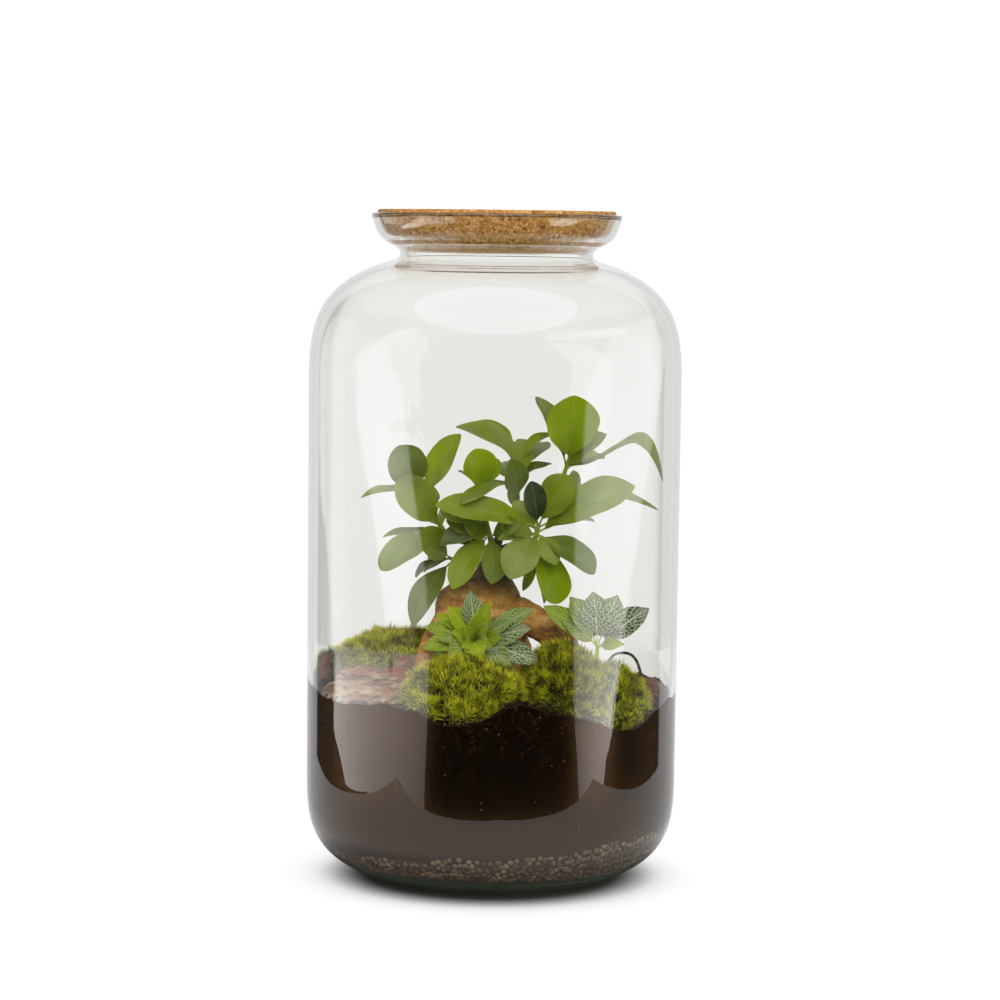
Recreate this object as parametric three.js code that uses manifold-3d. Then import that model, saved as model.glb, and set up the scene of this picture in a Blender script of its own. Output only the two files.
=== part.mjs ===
// A stoppered glass jar planted with a ginseng fig, two nerve plants and moss cushions.
// Millimetres, +Z up. The origin is the centre of the jar's foot, and -Y is the front.
import * as THREE from "three";
import { mergeVertices } from "three/addons/utils/BufferGeometryUtils.js";
import Module from "manifold-3d";

const wasm = await Module();
wasm.setup();

// Driving dimensions of the jar and what fills it
const jarRadius = 115;
const wallThickness = 3.5;
const footRadius = 68;
const footWidth = 8;
const puntHeight = 4;
const baseThickness = 4;
const bodyTopZ = 314;
const neckRadius = 59.4;
const neckZ = 383.5;
const rimRadius = 77;
const rimZ = 407;
const lidTopZ = 410.7;
const lidBottomZ = 391.8;
const roundSegments = 32;
const gap = 0.35;

const drainageZ = 29;
const drainageSlope = 0.04;
const pelletRelief = 1.6;
const soilZ = 114;

const leafThickness = 0.7;
const petioleWidth = 1.3;

// A repeatable random number between 0 and 1
function makeRandom(seed) {
  let state = seed;
  return () => {
    state = (state + 0x6d2b79f5) | 0;
    let mixed = Math.imul(state ^ (state >>> 15), 1 | state);
    mixed = (mixed + Math.imul(mixed ^ (mixed >>> 7), 61 | mixed)) ^ mixed;
    return ((mixed ^ (mixed >>> 14)) >>> 0) / 4294967296;
  };
}

const vec = (x, y, z) => new THREE.Vector3(x, y, z);
const clamp01 = (t) => Math.min(1, Math.max(0, t));

// Closed solids: between three.js geometry and the boolean library
function toSolid(geometry) {
  const bare = geometry.clone();
  bare.deleteAttribute("normal");
  bare.deleteAttribute("uv");
  const merged = mergeVertices(bare, 1e-4);
  const vertProperties = new Float32Array(merged.attributes.position.array);
  const triVerts = new Uint32Array(merged.index.array);
  return new wasm.Manifold(new wasm.Mesh({ numProp: 3, vertProperties, triVerts }));
}

function toGeometry(solid) {
  const mesh = solid.getMesh();
  const geometry = new THREE.BufferGeometry();
  geometry.setAttribute("position", new THREE.BufferAttribute(new Float32Array(mesh.vertProperties), 3));
  geometry.setIndex(new THREE.BufferAttribute(new Uint32Array(mesh.triVerts), 1));
  return geometry;
}

function joined(solids) {
  return solids.reduce((total, next) => total.add(next));
}

// Keeps the largest body, so a scrap that a cut leaves behind is dropped
function largest(solid) {
  return solid.decompose().reduce((best, next) => (next.volume() > best.volume() ? next : best));
}

// An indexed mesh made solid, turned inside out first if its faces point inwards
function solidFrom(points, triangles) {
  let volume = 0;
  for (const [a, b, c] of triangles) {
    volume += points[a].dot(points[b].clone().cross(points[c]));
  }
  const ordered = volume > 0 ? triangles : triangles.map(([a, b, c]) => [a, c, b]);
  const geometry = new THREE.BufferGeometry();
  const positions = points.flatMap((p) => [p.x, p.y, p.z]);
  geometry.setAttribute("position", new THREE.Float32BufferAttribute(positions, 3));
  geometry.setIndex(ordered.flat());
  return toSolid(geometry);
}

// A closed solid through rings of equal count, drawn together to a point at each end
function loft(rings, firstPoint, lastPoint) {
  const count = rings[0].length;
  const points = rings.flat().concat([firstPoint, lastPoint]);
  const first = rings.length * count;
  const last = first + 1;
  const lastRing = (rings.length - 1) * count;
  const triangles = [];
  for (let i = 0; i < count; i++) {
    const j = (i + 1) % count;
    triangles.push([first, j, i]);
    triangles.push([last, lastRing + i, lastRing + j]);
    for (let row = 0; row < rings.length - 1; row++) {
      const a = row * count;
      const b = a + count;
      triangles.push([a + i, a + j, b + j]);
      triangles.push([a + i, b + j, b + i]);
    }
  }
  return solidFrom(points, triangles);
}

function ring(count, pointAt) {
  return Array.from({ length: count }, (_, i) => pointAt((2 * Math.PI * i) / count));
}

// A round stem through points [x, y, z, radius], widened by grow for the hole that it stands in
function stem(route, sides = 6, grow = 0) {
  const curve = new THREE.CatmullRomCurve3(route.map(([x, y, z]) => vec(x, y, z)));
  const steps = (route.length - 1) * 2;
  const frames = curve.computeFrenetFrames(steps, false);
  const rings = [];
  for (let i = 0; i <= steps; i++) {
    const along = (i / steps) * (route.length - 1);
    const from = Math.min(Math.floor(along), route.length - 2);
    const radius = THREE.MathUtils.lerp(route[from][3], route[from + 1][3], along - from) + grow;
    const centre = curve.getPoint(i / steps);
    rings.push(ring(sides, (angle) => centre.clone()
      .addScaledVector(frames.normals[i], radius * Math.cos(angle))
      .addScaledVector(frames.binormals[i], radius * Math.sin(angle))));
  }
  const start = curve.getPoint(0).addScaledVector(frames.tangents[0], -grow);
  const end = curve.getPoint(1).addScaledVector(frames.tangents[steps], grow);
  return loft(rings, start, end);
}

// Jar: the outer outline from the punt to the rim, as [radius, height]
const cornerOutline = [[80, 2.4], [91, 6.9], [101, 13.8], [109, 23.5], [113.4, 36.5]];
const shoulderOutline = [
  [113.8, 329], [109.6, 345.4], [100.4, 360], [86, 370.8], [68.5, 378.2], [61.5, 380.6],
];
const flareOutline = [[61, 386.6], [68, 390.8], [73.2, 395.4]];
const outerWall = [
  [footRadius, 0],
  ...cornerOutline,
  [jarRadius, 62],
  [jarRadius, bodyTopZ],
  ...shoulderOutline,
  [neckRadius, neckZ],
  ...flareOutline,
  [rimRadius, rimZ],
].map(([r, z]) => new THREE.Vector2(r, z));

// Each point moved to the left of the way that the outline runs, by distance
function offsetOutline(outline, distance) {
  return outline.map((point, i) => {
    const before = outline[Math.max(i - 1, 0)];
    const after = outline[Math.min(i + 1, outline.length - 1)];
    const along = after.clone().sub(before).normalize();
    return new THREE.Vector2(point.x - along.y * distance, point.y + along.x * distance);
  });
}

// The inner floor is level, and curves up from floorRadius to the wall
const floorZ = puntHeight + baseThickness;
const innerWall = offsetOutline(outerWall, wallThickness).filter((point) => point.y > floorZ + 1);
const wallFoot = innerWall[0];
const floorRadius = wallFoot.x - 9;

function lathe(outline) {
  const geometry = new THREE.LatheGeometry(outline, roundSegments);
  geometry.rotateX(Math.PI / 2);
  return geometry;
}

function makeJar() {
  const lip = [
    new THREE.Vector2(rimRadius - 0.9, rimZ + 1.4),
    new THREE.Vector2(rimRadius - 2.6, rimZ + 1.2),
  ];
  const outline = [
    new THREE.Vector2(0, puntHeight),
    new THREE.Vector2(footRadius - footWidth - 18, puntHeight * 0.7),
    new THREE.Vector2(footRadius - footWidth, 0),
    ...outerWall,
    ...lip,
    ...innerWall.slice().reverse(),
    new THREE.Vector2(floorRadius, floorZ + 1),
    new THREE.Vector2(0, floorZ),
  ];
  return toSolid(lathe(outline));
}

// The space inside the jar, clear of the wall by distance, up to the neck
function makeCavity(distance) {
  const wall = offsetOutline(innerWall, distance).filter((point) => point.y < neckZ);
  const outline = [
    new THREE.Vector2(0, floorZ + distance),
    new THREE.Vector2(floorRadius, floorZ + 1 + distance),
    ...wall,
    new THREE.Vector2(0, neckZ - 1),
  ];
  return toSolid(lathe(outline));
}

// Cork lid: its side follows the flared rim, with bevelled edges
function makeLid() {
  const seat = offsetOutline(innerWall, gap).filter((point) => point.y > lidBottomZ + 0.6);
  const edge = seat[seat.length - 1];
  const outline = [
    new THREE.Vector2(0, lidBottomZ),
    new THREE.Vector2(seat[0].x - 3.4, lidBottomZ),
    ...seat,
    new THREE.Vector2(edge.x + 0.3, lidTopZ - 1.6),
    new THREE.Vector2(edge.x - 1.2, lidTopZ),
    new THREE.Vector2(0, lidTopZ),
  ];
  return toSolid(lathe(outline));
}

// Ground: the top of the drainage layer is a gently tilted plane
const drainageTop = (x) => drainageZ + drainageSlope * x;

const bump = (x, y, atX, atY, spread) => Math.exp(-((x - atX) ** 2 + (y - atY) ** 2) / spread ** 2);

// Height of the soil: mounded under the trunk, banked up on the left, low at the front right
function soilTop(x, y) {
  const mound = 13 * bump(x, y, -4, 4, 52);
  const leftBank = 9 * bump(x, y, -112, 0, 34);
  const middleRise = 10 * bump(x, y, 15, -100, 17);
  const frontDip = -11 * bump(x, y, 78, -74, 30) - 6 * bump(x, y, -18, -106, 22);
  const crumbs = 1.1 * Math.sin(0.21 * x + 1.3) * Math.sin(0.19 * y - 0.4);
  return soilZ + mound + leftBank + middleRise + frontDip + crumbs;
}

// Radius of the space at a height, kept clear of the faceted wall by distance
function cavityRadius(z, distance) {
  const wall = offsetOutline(innerWall, distance);
  const above = wall.findIndex((point) => point.y > z);
  const low = wall[Math.max(above - 1, 0)];
  const high = wall[Math.max(above, 1)];
  return THREE.MathUtils.mapLinear(z, low.y, high.y, low.x, high.x);
}

// Drainage pellets: round bumps all over the side, each as wide as two segments
function makeDrainage() {
  const segments = roundSegments * 2;
  const rows = 4;
  const rings = [];
  const bottomZ = wallFoot.y + 0.8;
  for (let row = 0; row <= rows; row++) {
    rings.push(ring(segments, (angle) => {
      const step = Math.round((angle * segments) / (2 * Math.PI));
      const reach = cavityRadius(bottomZ, 1.2);
      const topZ = drainageTop(reach * Math.cos(angle));
      const z = THREE.MathUtils.lerp(bottomZ, topZ, row / rows);
      const proud = (step + row) % 2 === 0 ? 0 : pelletRelief;
      const radius = cavityRadius(z, 0.8) - proud;
      const x = radius * Math.cos(angle);
      return vec(x, radius * Math.sin(angle), row === rows ? drainageTop(x) : z);
    }));
  }
  const inner = ring(segments, (angle) => vec(
    (floorRadius - 1) * Math.cos(angle),
    (floorRadius - 1) * Math.sin(angle),
    floorZ + 1 + gap));
  return loft([inner, ...rings], vec(0, 0, floorZ + gap), vec(0, 0, drainageTop(0)));
}

// Soil: a wall that follows the glass and a mounded top, raised by grow to cut what lies on it
function makeSoil(grow) {
  const edge = cavityRadius(soilZ, gap);
  const bottom = ring(roundSegments, (angle) => {
    const radius = cavityRadius(drainageTop(edge * Math.cos(angle)), gap) - 0.3;
    const x = radius * Math.cos(angle);
    return vec(x, radius * Math.sin(angle), drainageTop(x) + gap);
  });
  const side = [44, 62].map((z) => ring(roundSegments, (angle) => {
    const radius = cavityRadius(z, gap);
    return vec(radius * Math.cos(angle), radius * Math.sin(angle), z);
  }));
  const top = [1, 0.88, 0.72, 0.54, 0.34, 0.16].map((share) => ring(roundSegments, (angle) => {
    const x = edge * share * Math.cos(angle);
    const y = edge * share * Math.sin(angle);
    return vec(x, y, soilTop(x, y) + grow);
  }));
  return loft([bottom, ...side, ...top], vec(0, 0, drainageTop(0) + gap), vec(0, 0, soilTop(0, 0) + grow));
}

// Fig trunk: rings [centre x, centre y, z, half width, half depth], from the buried foot to the neck
const trunkRings = [
  [-6, 2, 119, 30, 24], [-7, 1, 130, 31, 26], [-8, 1, 142, 31, 25], [-8, 1, 152, 30.5, 24],
  [-8.5, 1, 162, 29.5, 22.5], [-9, 1, 170, 27.5, 20.5], [-8, 1, 176.5, 24, 17], [-4.5, 0, 180.5, 17, 12],
  [-0.5, 0, 184, 9.5, 8], [0.8, 0, 188.5, 5.8, 5.6], [0.6, 0, 194, 4.8, 4.8], [0, 0, 199.5, 4.8, 4.8],
];
const roots = [
  [[14, -4, 165, 9], [27, -9, 157, 10], [40, -15, 149, 9], [48, -20, 137, 8], [52, -24, 116, 6]],
  [[-26, -8, 160, 9], [-34, -17, 146, 9], [-40, -25, 131, 7.5], [-44, -30, 113, 5.5]],
  [[-4, -12, 158, 10], [-2, -20, 146, 10], [1, -27, 132, 9], [3, -32, 114, 6.5]],
  [[2, 12, 162, 9], [10, 24, 148, 9.5], [17, 34, 134, 8], [21, 40, 115, 6]],
  [[-22, 10, 158, 9], [-32, 21, 143, 8.5], [-38, 29, 129, 7], [-41, 33, 114, 5]],
];
const twigs = [
  [[0, 0, 196, 3.4], [9, -3, 203.5, 2.6], [20, -8, 205, 2.2], [25.6, -9.6, 209, 2]],
  [[0, 0, 197, 3.6], [-0.6, -5, 204, 2.6], [-2, -12, 210, 2]],
  [[0, 0, 196, 3.4], [-12, 3, 203.5, 2.6], [-26.6, 4.8, 207.6, 2]],
  [[0, 0, 191, 3.2], [-9, 5, 191.5, 2.4], [-20, 9, 192.4, 1.9]],
  [[0, 0, 196, 3.8], [4, 4, 209, 3], [13.4, 9.4, 222.4, 2.1]],
  [[3, 3.4, 207, 2.6], [20, 10, 220, 2.4], [34.4, 13.6, 232.4, 2]],
];

function makeTrunk(grow) {
  const sides = 14;
  const lobes = (angle, z) => {
    const low = clamp01((186 - z) / 40);
    return 1 - low * (0.05 * (1 - Math.cos(3 * angle + 0.7)) + 0.035 * (1 - Math.cos(5 * angle - 1.1)));
  };
  const rings = trunkRings.map(([x, y, z, halfWidth, halfDepth]) => ring(sides, (angle) => vec(
    x + (halfWidth + grow) * lobes(angle, z) * Math.cos(angle),
    y + (halfDepth + grow) * lobes(angle, z) * Math.sin(angle),
    z)));
  const [footX, footY, footZ] = trunkRings[0];
  const [neckX, neckY, topZ] = trunkRings[trunkRings.length - 1];
  const body = loft(rings, vec(footX, footY, footZ - grow), vec(neckX, neckY, topZ + 1.5 + grow));
  const rootSolids = roots.map((route) => stem(route, 8, grow));
  const twigSolids = twigs.map((route) => stem(route, 5, grow));
  return joined([body, ...rootSolids, ...twigSolids]);
}

// A thin blade through stations of three points across, the same way split on both faces
function blade(stations, thickness) {
  const rows = stations.length;
  const points = [];
  for (const side of [0.5, -0.5]) {
    for (const station of stations) {
      for (const across of station.points) {
        points.push(across.clone().addScaledVector(station.normal, side * thickness));
      }
    }
  }
  const under = rows * 3;
  const triangles = [];
  const quad = (a, b, c, d) => triangles.push([a, b, c], [a, c, d]);
  for (let row = 0; row < rows - 1; row++) {
    const a = row * 3;
    const b = a + 3;
    for (let column = 0; column < 2; column++) {
      quad(a + column, a + column + 1, b + column + 1, b + column);
      quad(under + a + column, under + b + column, under + b + column + 1, under + a + column + 1);
    }
    quad(a, b, under + b, under + a);
    quad(a + 2, under + a + 2, under + b + 2, b + 2);
  }
  const end = (rows - 1) * 3;
  for (let column = 0; column < 2; column++) {
    quad(column, under + column, under + column + 1, column + 1);
    quad(end + column, end + column + 1, under + end + column + 1, under + end + column);
  }
  return solidFrom(points, triangles);
}

// Half widths of a blade along its length, as shares of the half width at its widest
const figOutline = [[0, 0], [0.14, 0], [0.36, 0.84], [0.64, 1], [0.88, 0.52], [1, 0.06]];
const nerveOutline = [[0, 0], [0.24, 0], [0.44, 0.94], [0.68, 0.96], [0.88, 0.54], [1, 0.08]];

// The side that a turned blade faces: upwards, or to the right on an upright leaf
const tipping = vec(0.3, 0, 1);

// A leaf as [base x, y, z, tip x, y, z, width, turn, arch]. Turn is the angle in degrees by which the
// blade's face tips away from the front, and arch is how far it rises off the chord, at its middle or
// at the share of its length that a tenth value gives.
function leaf(row, outline, thickness, grow, fold) {
  const [baseX, baseY, baseZ, tipX, tipY, tipZ, width, turn, arch, peak = 0.5] = row;
  const bend = Math.log(0.5) / Math.log(peak);
  const base = vec(baseX, baseY, baseZ);
  const chord = vec(tipX, tipY, tipZ).sub(base);
  const along = chord.clone().normalize();
  const front = vec(0, -1, 0.1);
  const facing = front.addScaledVector(along, -front.dot(along)).normalize();
  const across = along.clone().cross(facing).normalize();
  if (across.dot(tipping) < 0) {
    across.negate();
  }
  const angle = THREE.MathUtils.degToRad(turn);
  const normal = facing.clone().multiplyScalar(Math.cos(angle)).addScaledVector(across, Math.sin(angle));
  const sideways = along.clone().cross(normal).normalize();
  const stations = outline.map(([share, wide]) => {
    const bent = share ** bend;
    const rise = 4 * arch * bent * (1 - bent);
    const middle = base.clone().addScaledVector(chord, share).addScaledVector(normal, rise);
    const rate = share === 0 ? 0 : (bend * bent) / share;
    const slope = chord.clone().addScaledVector(normal, 4 * arch * rate * (1 - 2 * bent)).normalize();
    const outward = sideways.clone().cross(slope).normalize();
    const half = Math.max(wide * width, petioleWidth) / 2 + grow;
    const lift = fold * half;
    return {
      normal: outward.dot(normal) > 0 ? outward : outward.negate(),
      points: [-1, 0, 1].map((side) => middle.clone().addScaledVector(sideways, side * half)
        .addScaledVector(normal, Math.abs(side) * lift)),
    };
  });
  return blade(stations, thickness + 2 * grow);
}

// Fig shoots: a green stem as [x, y, z, radius] and its leaves
const figShoots = {
  fig_shoot_right: {
    stem: [[25.7, -9.8, 209.6, 1.8], [27, -10, 214, 1.6], [28, -10.4, 219, 1.2]],
    leaves: [
      [27, -10, 216, 86, -20, 243.5, 27, 35, 3],
      [27, -9, 213, 63, 13, 218, 22, 70, 4],
      [27, -10.5, 218, 22.5, -28, 246.5, 15, 15, 2],
      [28, -10, 218, 44, -18, 250, 24, 20, 3],
      [26, -11, 212, 10.5, -43, 188.5, 23, 15, 5],
      [27, -10, 212, 62, -24, 189.5, 22, 45, 4],
      [26, -10, 210.5, 40.5, -16, 170, 22, 22, 3],
      [26, -9.5, 210.5, 32, -2, 168, 13, 60, 2],
      [26, -10.5, 210.5, 18.6, -19, 178, 9, 35, 2],
      [27, -11, 212, 38.5, -27, 195, 14, 20, 2],
      [27, -10.6, 216.5, -35, -38, 232, 22, 44, 4],
      [26, -11, 213, 3, -30, 211, 9, 40, 1],
    ],
  },
  fig_shoot_middle: {
    stem: [[-2.1, -12.5, 210.7, 1.8], [-4, -13, 218, 1.5], [-6, -9, 229, 1.3], [-8, -5, 240, 1]],
    leaves: [
      [-2.4, -13, 212, -24, -36, 180.5, 20, 35, 3],
      [-2.6, -13, 213, -32, -23, 206, 18, 55, 3],
      [-2.2, -13, 212, -0.5, -27, 183, 18, 25, 3],
      [-3.4, -13, 216, -31.6, -20, 224.5, 17, 50, 3],
      [-2.6, -13, 213, -14, -20, 207.5, 6, 30, 1],
      [-6, -9, 229, -33.5, -14, 226, 12, 45, 2],
      [-7.4, -6, 237, -22.3, 3, 249.5, 13, 78, 2],
      [-8.4, -5, 239.6, -11, -14, 265, 22, 15, 3],
      [-7.6, -5, 238, 2, 3, 257.5, 15, 30, 1],
    ],
  },
  fig_shoot_left: {
    stem: [[-27.2, 4.9, 207.9, 1.8], [-31, 5.4, 212, 1.6], [-39, 6, 224, 1.4], [-47, 4, 237, 1]],
    leaves: [
      [-43, 5, 231, -21, 2, 272.5, 22, 42, 3],
      [-47, 4, 236, -59, -19, 266.5, 25, 8, 3],
      [-46.6, 4, 236, -83, 9, 231.5, 17, 76, 3],
      [-33, 5, 215, -60, -17, 245, 25, 22, 3],
      [-30.4, 5, 211.4, -69, -16, 189.5, 22, 40, 4],
      [-30.6, 5, 211, -69, 4, 207.5, 14, 76, 2],
      [-37, 7, 221, -52, 42, 236, 20, 50, 4],
      [-30.6, 6, 212, -40, 46, 214, 20, 40, 5],
    ],
  },
  fig_shoot_low_left: {
    stem: [[-20.6, 9.2, 192.4, 1.6], [-24, 10.2, 193, 1.4], [-28, 11, 194.6, 1]],
    leaves: [
      [-27, 10.8, 194.4, -49, 22, 210, 20, 30, 2],
      [-27, 10.6, 194.2, -48, 0, 183, 16, 78, 2],
      [-25, 10.4, 193, -49, -13, 154.5, 19, 34, 6],
      [-26, 11, 194, -42, 40, 186, 18, 40, 3],
    ],
  },
  fig_shoot_top: {
    stem: [[13.7, 9.6, 222.9, 1.9], [14.6, 10, 232, 1.7], [14, 10, 246, 1.4], [13, 9.6, 260, 1.5],
      [12.6, 9.4, 268, 0.4]],
    leaves: [
      [14.4, 9.6, 232, 10, -9, 258.5, 17, 25, 2],
      [14, 9.4, 243, -17, 0, 232.5, 17, 38, 2],
      [14.2, 10, 244, 36, 17, 253.5, 12, 68, 2],
      [14.6, 9.6, 227, 9, -1, 239, 8, 20, 1],
      [13.6, 10, 252, 36.5, 21, 272.5, 16, 66, 3],
      [14, 9.8, 240, -24, 2, 277, 21, 58, 15],
      [14.6, 10.4, 238, 2, 52, 250, 22, 35, 5],
      [14.4, 10.4, 246, 30, 54, 264, 22, 30, 5],
      [13.4, 10, 256, -12, 38, 278, 18, 40, 4],
    ],
  },
  fig_shoot_top_right: {
    stem: [[34.9, 13.8, 233, 1.8], [40, 15, 239, 1.6], [44, 14.6, 248, 1.4], [46, 13, 256, 1]],
    leaves: [
      [45.8, 13, 255, 48.5, -9, 298, 33, 8, 4],
      [45, 14, 252, 25.5, 24, 295, 20, 50, 4],
      [44.4, 14.4, 250, 69.5, 4, 273.5, 17, 48, 3],
      [45.4, 13.4, 254, 104, -8, 246, 20, 70, 22, 0.72],
      [38.4, 14.8, 237, 103, 10, 226, 20, 78, 4],
      [44, 15, 249, 66, 50, 258, 22, 35, 5],
      [40, 15.4, 240, 56, 54, 232, 21, 40, 5],
    ],
  },
};

function makeShoot({ stem: route, leaves }) {
  const leafSolids = leaves.map((row) => leaf(row, figOutline, leafThickness, 0, 0.16));
  return joined([stem(route, 5), ...leafSolids]);
}

// Nerve plants: a short stem in the soil and broad leaves round its top
const nervePlants = {
  nerve_plant_front: {
    stem: [[-9, -50, 106, 1.3], [-10, -49, 130, 1.3], [-10.6, -47, 151, 1.1]],
    leaves: [
      [-10.6, -47, 149, -14.3, -48, 180, 14, 10, 2],
      [-10.6, -47, 149, -27, -52, 168.5, 14, 30, 2],
      [-10.6, -47, 150, -7, -60, 170, 13, 15, 2],
      [-10.6, -47, 150, 23, -46, 168, 13, 30, 2],
      [-10.6, -47, 149, 23, -62, 162, 18, 25, 3],
      [-10.6, -47, 149, 30, -68, 142, 16, 30, 5],
      [-10.6, -47, 149, -42.5, -63, 150, 15, 35, 4],
      [-10.6, -47, 150, -39.5, -48, 157, 14, 45, 3],
      [-10.6, -47, 149, -6, -77, 145, 17, 10, 5],
      [-10.6, -47, 149, 13, -74, 142, 16, 25, 5],
    ],
  },
  nerve_plant_right: {
    stem: [[63, -33, 104, 1.4], [63.6, -34, 128, 1.4], [64.2, -35, 148, 1.2]],
    leaves: [
      [64.2, -35, 146, 32, -38, 170, 22, 25, 3],
      [64.2, -35, 146, 58, -33, 179.5, 26, 8, 2],
      [64.2, -35, 146, 98, -33, 170, 25, 14, 2],
      [64.2, -35, 146, 77, -32, 175, 21, 10, 2],
      [64.2, -35, 146, 79.5, -48, 149, 8, 30, 2],
      [64.2, -35, 146, 76, -2, 158, 22, 40, 4],
      [64.2, -35, 146, 52, -21, 164, 16, 40, 2],
    ],
  },
};

function makeNervePlant({ stem: route, leaves }, grow = 0) {
  const leafSolids = leaves.map((row) => leaf(row, nerveOutline, leafThickness, grow, 0.1));
  return joined([stem(route, 5, grow), ...leafSolids]);
}

// Moss cushions: domes [centre x, centre y, half width, half depth, height] covered in pointed tufts,
// with as many tufts round the foot of each dome as half its sides
const mossCushions = {
  moss_front: { domes: [[-16, -72, 34, 35, 26]], sides: 32, seed: 11 },
  moss_right: { domes: [[43, -60, 28, 37, 34], [77, -47, 25, 31, 25]], sides: 28, seed: 23 },
  moss_back_left: { domes: [[-62, 26, 38, 35, 25]], sides: 32, seed: 37 },
  moss_left_edge: { domes: [[-98, 7, 8, 9, 9]], sides: 14, seed: 41 },
};
const tuftHeight = 6.5;
const mossSink = 4;

// Staggered points of the dome's grid are drawn out into tufts, with low points all round each
function mossDome([x, y, halfWidth, halfDepth, height], sides, random, grow) {
  const rows = Math.round(sides / 4);
  const pointAt = (row, angle, raised) => {
    const share = Math.sqrt(1 - row / rows);
    const lift = raised ? tuftHeight * (0.6 + 0.8 * random()) : 0;
    const reach = 1 + lift / (halfWidth + height);
    const atX = x + (halfWidth + grow) * share * Math.cos(angle) * reach;
    const atY = y + (halfDepth + grow) * share * Math.sin(angle) * reach;
    const dome = (height + grow) * Math.sqrt(1 - share ** 2);
    return vec(atX, atY, soilTop(atX, atY) + dome + lift * (0.4 + 0.6 * Math.sqrt(1 - share ** 2)));
  };
  const rings = [];
  const step = (2 * Math.PI) / sides;
  for (let row = 0; row < rows; row++) {
    const shift = Math.floor(row / 2) % 2;
    rings.push(ring(sides, (angle) => {
      const raised = row % 2 === 0 && (Math.round(angle / step) + shift) % 2 === 0;
      return pointAt(row, angle, raised);
    }));
  }
  const foot = rings[0].map((point) => vec(
    THREE.MathUtils.lerp(point.x, x, 0.06),
    THREE.MathUtils.lerp(point.y, y, 0.06),
    soilTop(point.x, point.y) - mossSink));
  const top = vec(x, y, soilTop(x, y) + height + grow + tuftHeight * 0.6);
  return loft([foot, ...rings], vec(x, y, soilZ - 12), top);
}

function makeMoss({ domes, sides, seed }, grow = 0) {
  const random = makeRandom(seed);
  return joined(domes.map((dome) => mossDome(dome, sides, random, grow)));
}

// Pieces of bark: [centre x, y, z, half length, half depth, half height, turn, tilt, seed]
const barkPieces = {
  bark_front: [-77, -56, 116, 29, 13, 10, -24, 6, 5],
  bark_rear: [-68, -30, 120, 27, 11, 10.5, -6, 3, 9],
  bark_point: [-54, -13.5, 126, 8, 4.5, 10, 10, 0, 12],
  bark_red_chip: [97, -19, 116, 6, 4, 9, 20, 12, 15],
  bark_flat_chip: [98, -35, 109, 9, 7, 5, 30, 6, 17],
  bark_left_strip: [-103.5, -10, 124, 3, 6.5, 13, 0, 0, 19],
};

// Rough lump: a squared-off ball whose corners are moved by the seeded draw
function makeBark([x, y, z, length, depth, height, turn, tilt, seed], grow = 0) {
  const random = makeRandom(seed);
  const sides = 9;
  const levels = [-0.95, -0.45, 0.1, 0.6, 0.92];
  const square = (value) => Math.sign(value) * Math.abs(value) ** 0.7;
  const place = new THREE.Matrix4().makeRotationZ(THREE.MathUtils.degToRad(turn))
    .multiply(new THREE.Matrix4().makeRotationY(THREE.MathUtils.degToRad(tilt)))
    .setPosition(x, y, z);
  const rings = levels.map((level) => {
    const wide = (1 - Math.abs(level) ** 3) ** 0.5;
    return ring(sides, (angle) => {
      const rough = 0.82 + 0.3 * random();
      return vec(
        (length + grow) * wide * rough * square(Math.cos(angle)),
        (depth + grow) * wide * rough * square(Math.sin(angle)),
        (height + grow) * (level + 0.12 * (random() - 0.5)),
      ).applyMatrix4(place);
    });
  });
  const bottom = vec(0, 0, -height - grow).applyMatrix4(place);
  const top = vec(0, 0, height + grow).applyMatrix4(place);
  return loft(rings, bottom, top);
}

// Dead stem: a thin dark hook with both ends in the moss
const deadStem = [
  [70, -27, 134, 0.9], [75, -28, 140.6, 0.9], [83, -29.5, 141.6, 0.9], [88, -31, 137.4, 0.9],
  [91.5, -32, 127, 0.8],
];

// Assembly
const materials = {
  glass: { color: 0xdfe8e2, roughness: 0.05, metalness: 0 },
  cork: { color: 0xb98455, roughness: 0.85, metalness: 0 },
  clay: { color: 0x9c7a58, roughness: 0.9, metalness: 0 },
  soil: { color: 0x241710, roughness: 1, metalness: 0 },
  bark: { color: 0x9a6f47, roughness: 0.8, metalness: 0 },
  figLeaf: { color: 0x5e8a2a, roughness: 0.4, metalness: 0 },
  nerveLeaf: { color: 0x4f7a3a, roughness: 0.5, metalness: 0 },
  moss: { color: 0x869a1e, roughness: 1, metalness: 0 },
  deadBark: { color: 0x8d7466, roughness: 0.9, metalness: 0 },
  deadStem: { color: 0x2c2520, roughness: 0.8, metalness: 0 },
};

const terrarium = new THREE.Group();

function addPart(name, solid, finish) {
  const mesh = new THREE.Mesh(toGeometry(solid), new THREE.MeshStandardMaterial(materials[finish]));
  mesh.name = name;
  terrarium.add(mesh);
}

const cavity = makeCavity(2 * gap);
const groundCut = makeSoil(gap);
const trunkCut = makeTrunk(gap);
const nerveStemCuts = Object.values(nervePlants).map((plant) => stem(plant.stem, 6, gap));
const deadStemCut = stem(deadStem, 5, gap);
const barkCuts = Object.values(barkPieces).map((row) => makeBark(row, gap));

addPart("jar", makeJar(), "glass");
addPart("cork_lid", makeLid(), "cork");
addPart("drainage_pellets", makeDrainage(), "clay");
addPart("soil", makeSoil(0).subtract(joined([trunkCut, deadStemCut, ...nerveStemCuts])), "soil");
addPart("fig_trunk", makeTrunk(0), "bark");

for (const [name, shoot] of Object.entries(figShoots)) {
  addPart(name, largest(makeShoot(shoot).subtract(trunkCut)), "figLeaf");
}
for (const [name, plant] of Object.entries(nervePlants)) {
  addPart(name, makeNervePlant(plant), "nerveLeaf");
}

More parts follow.
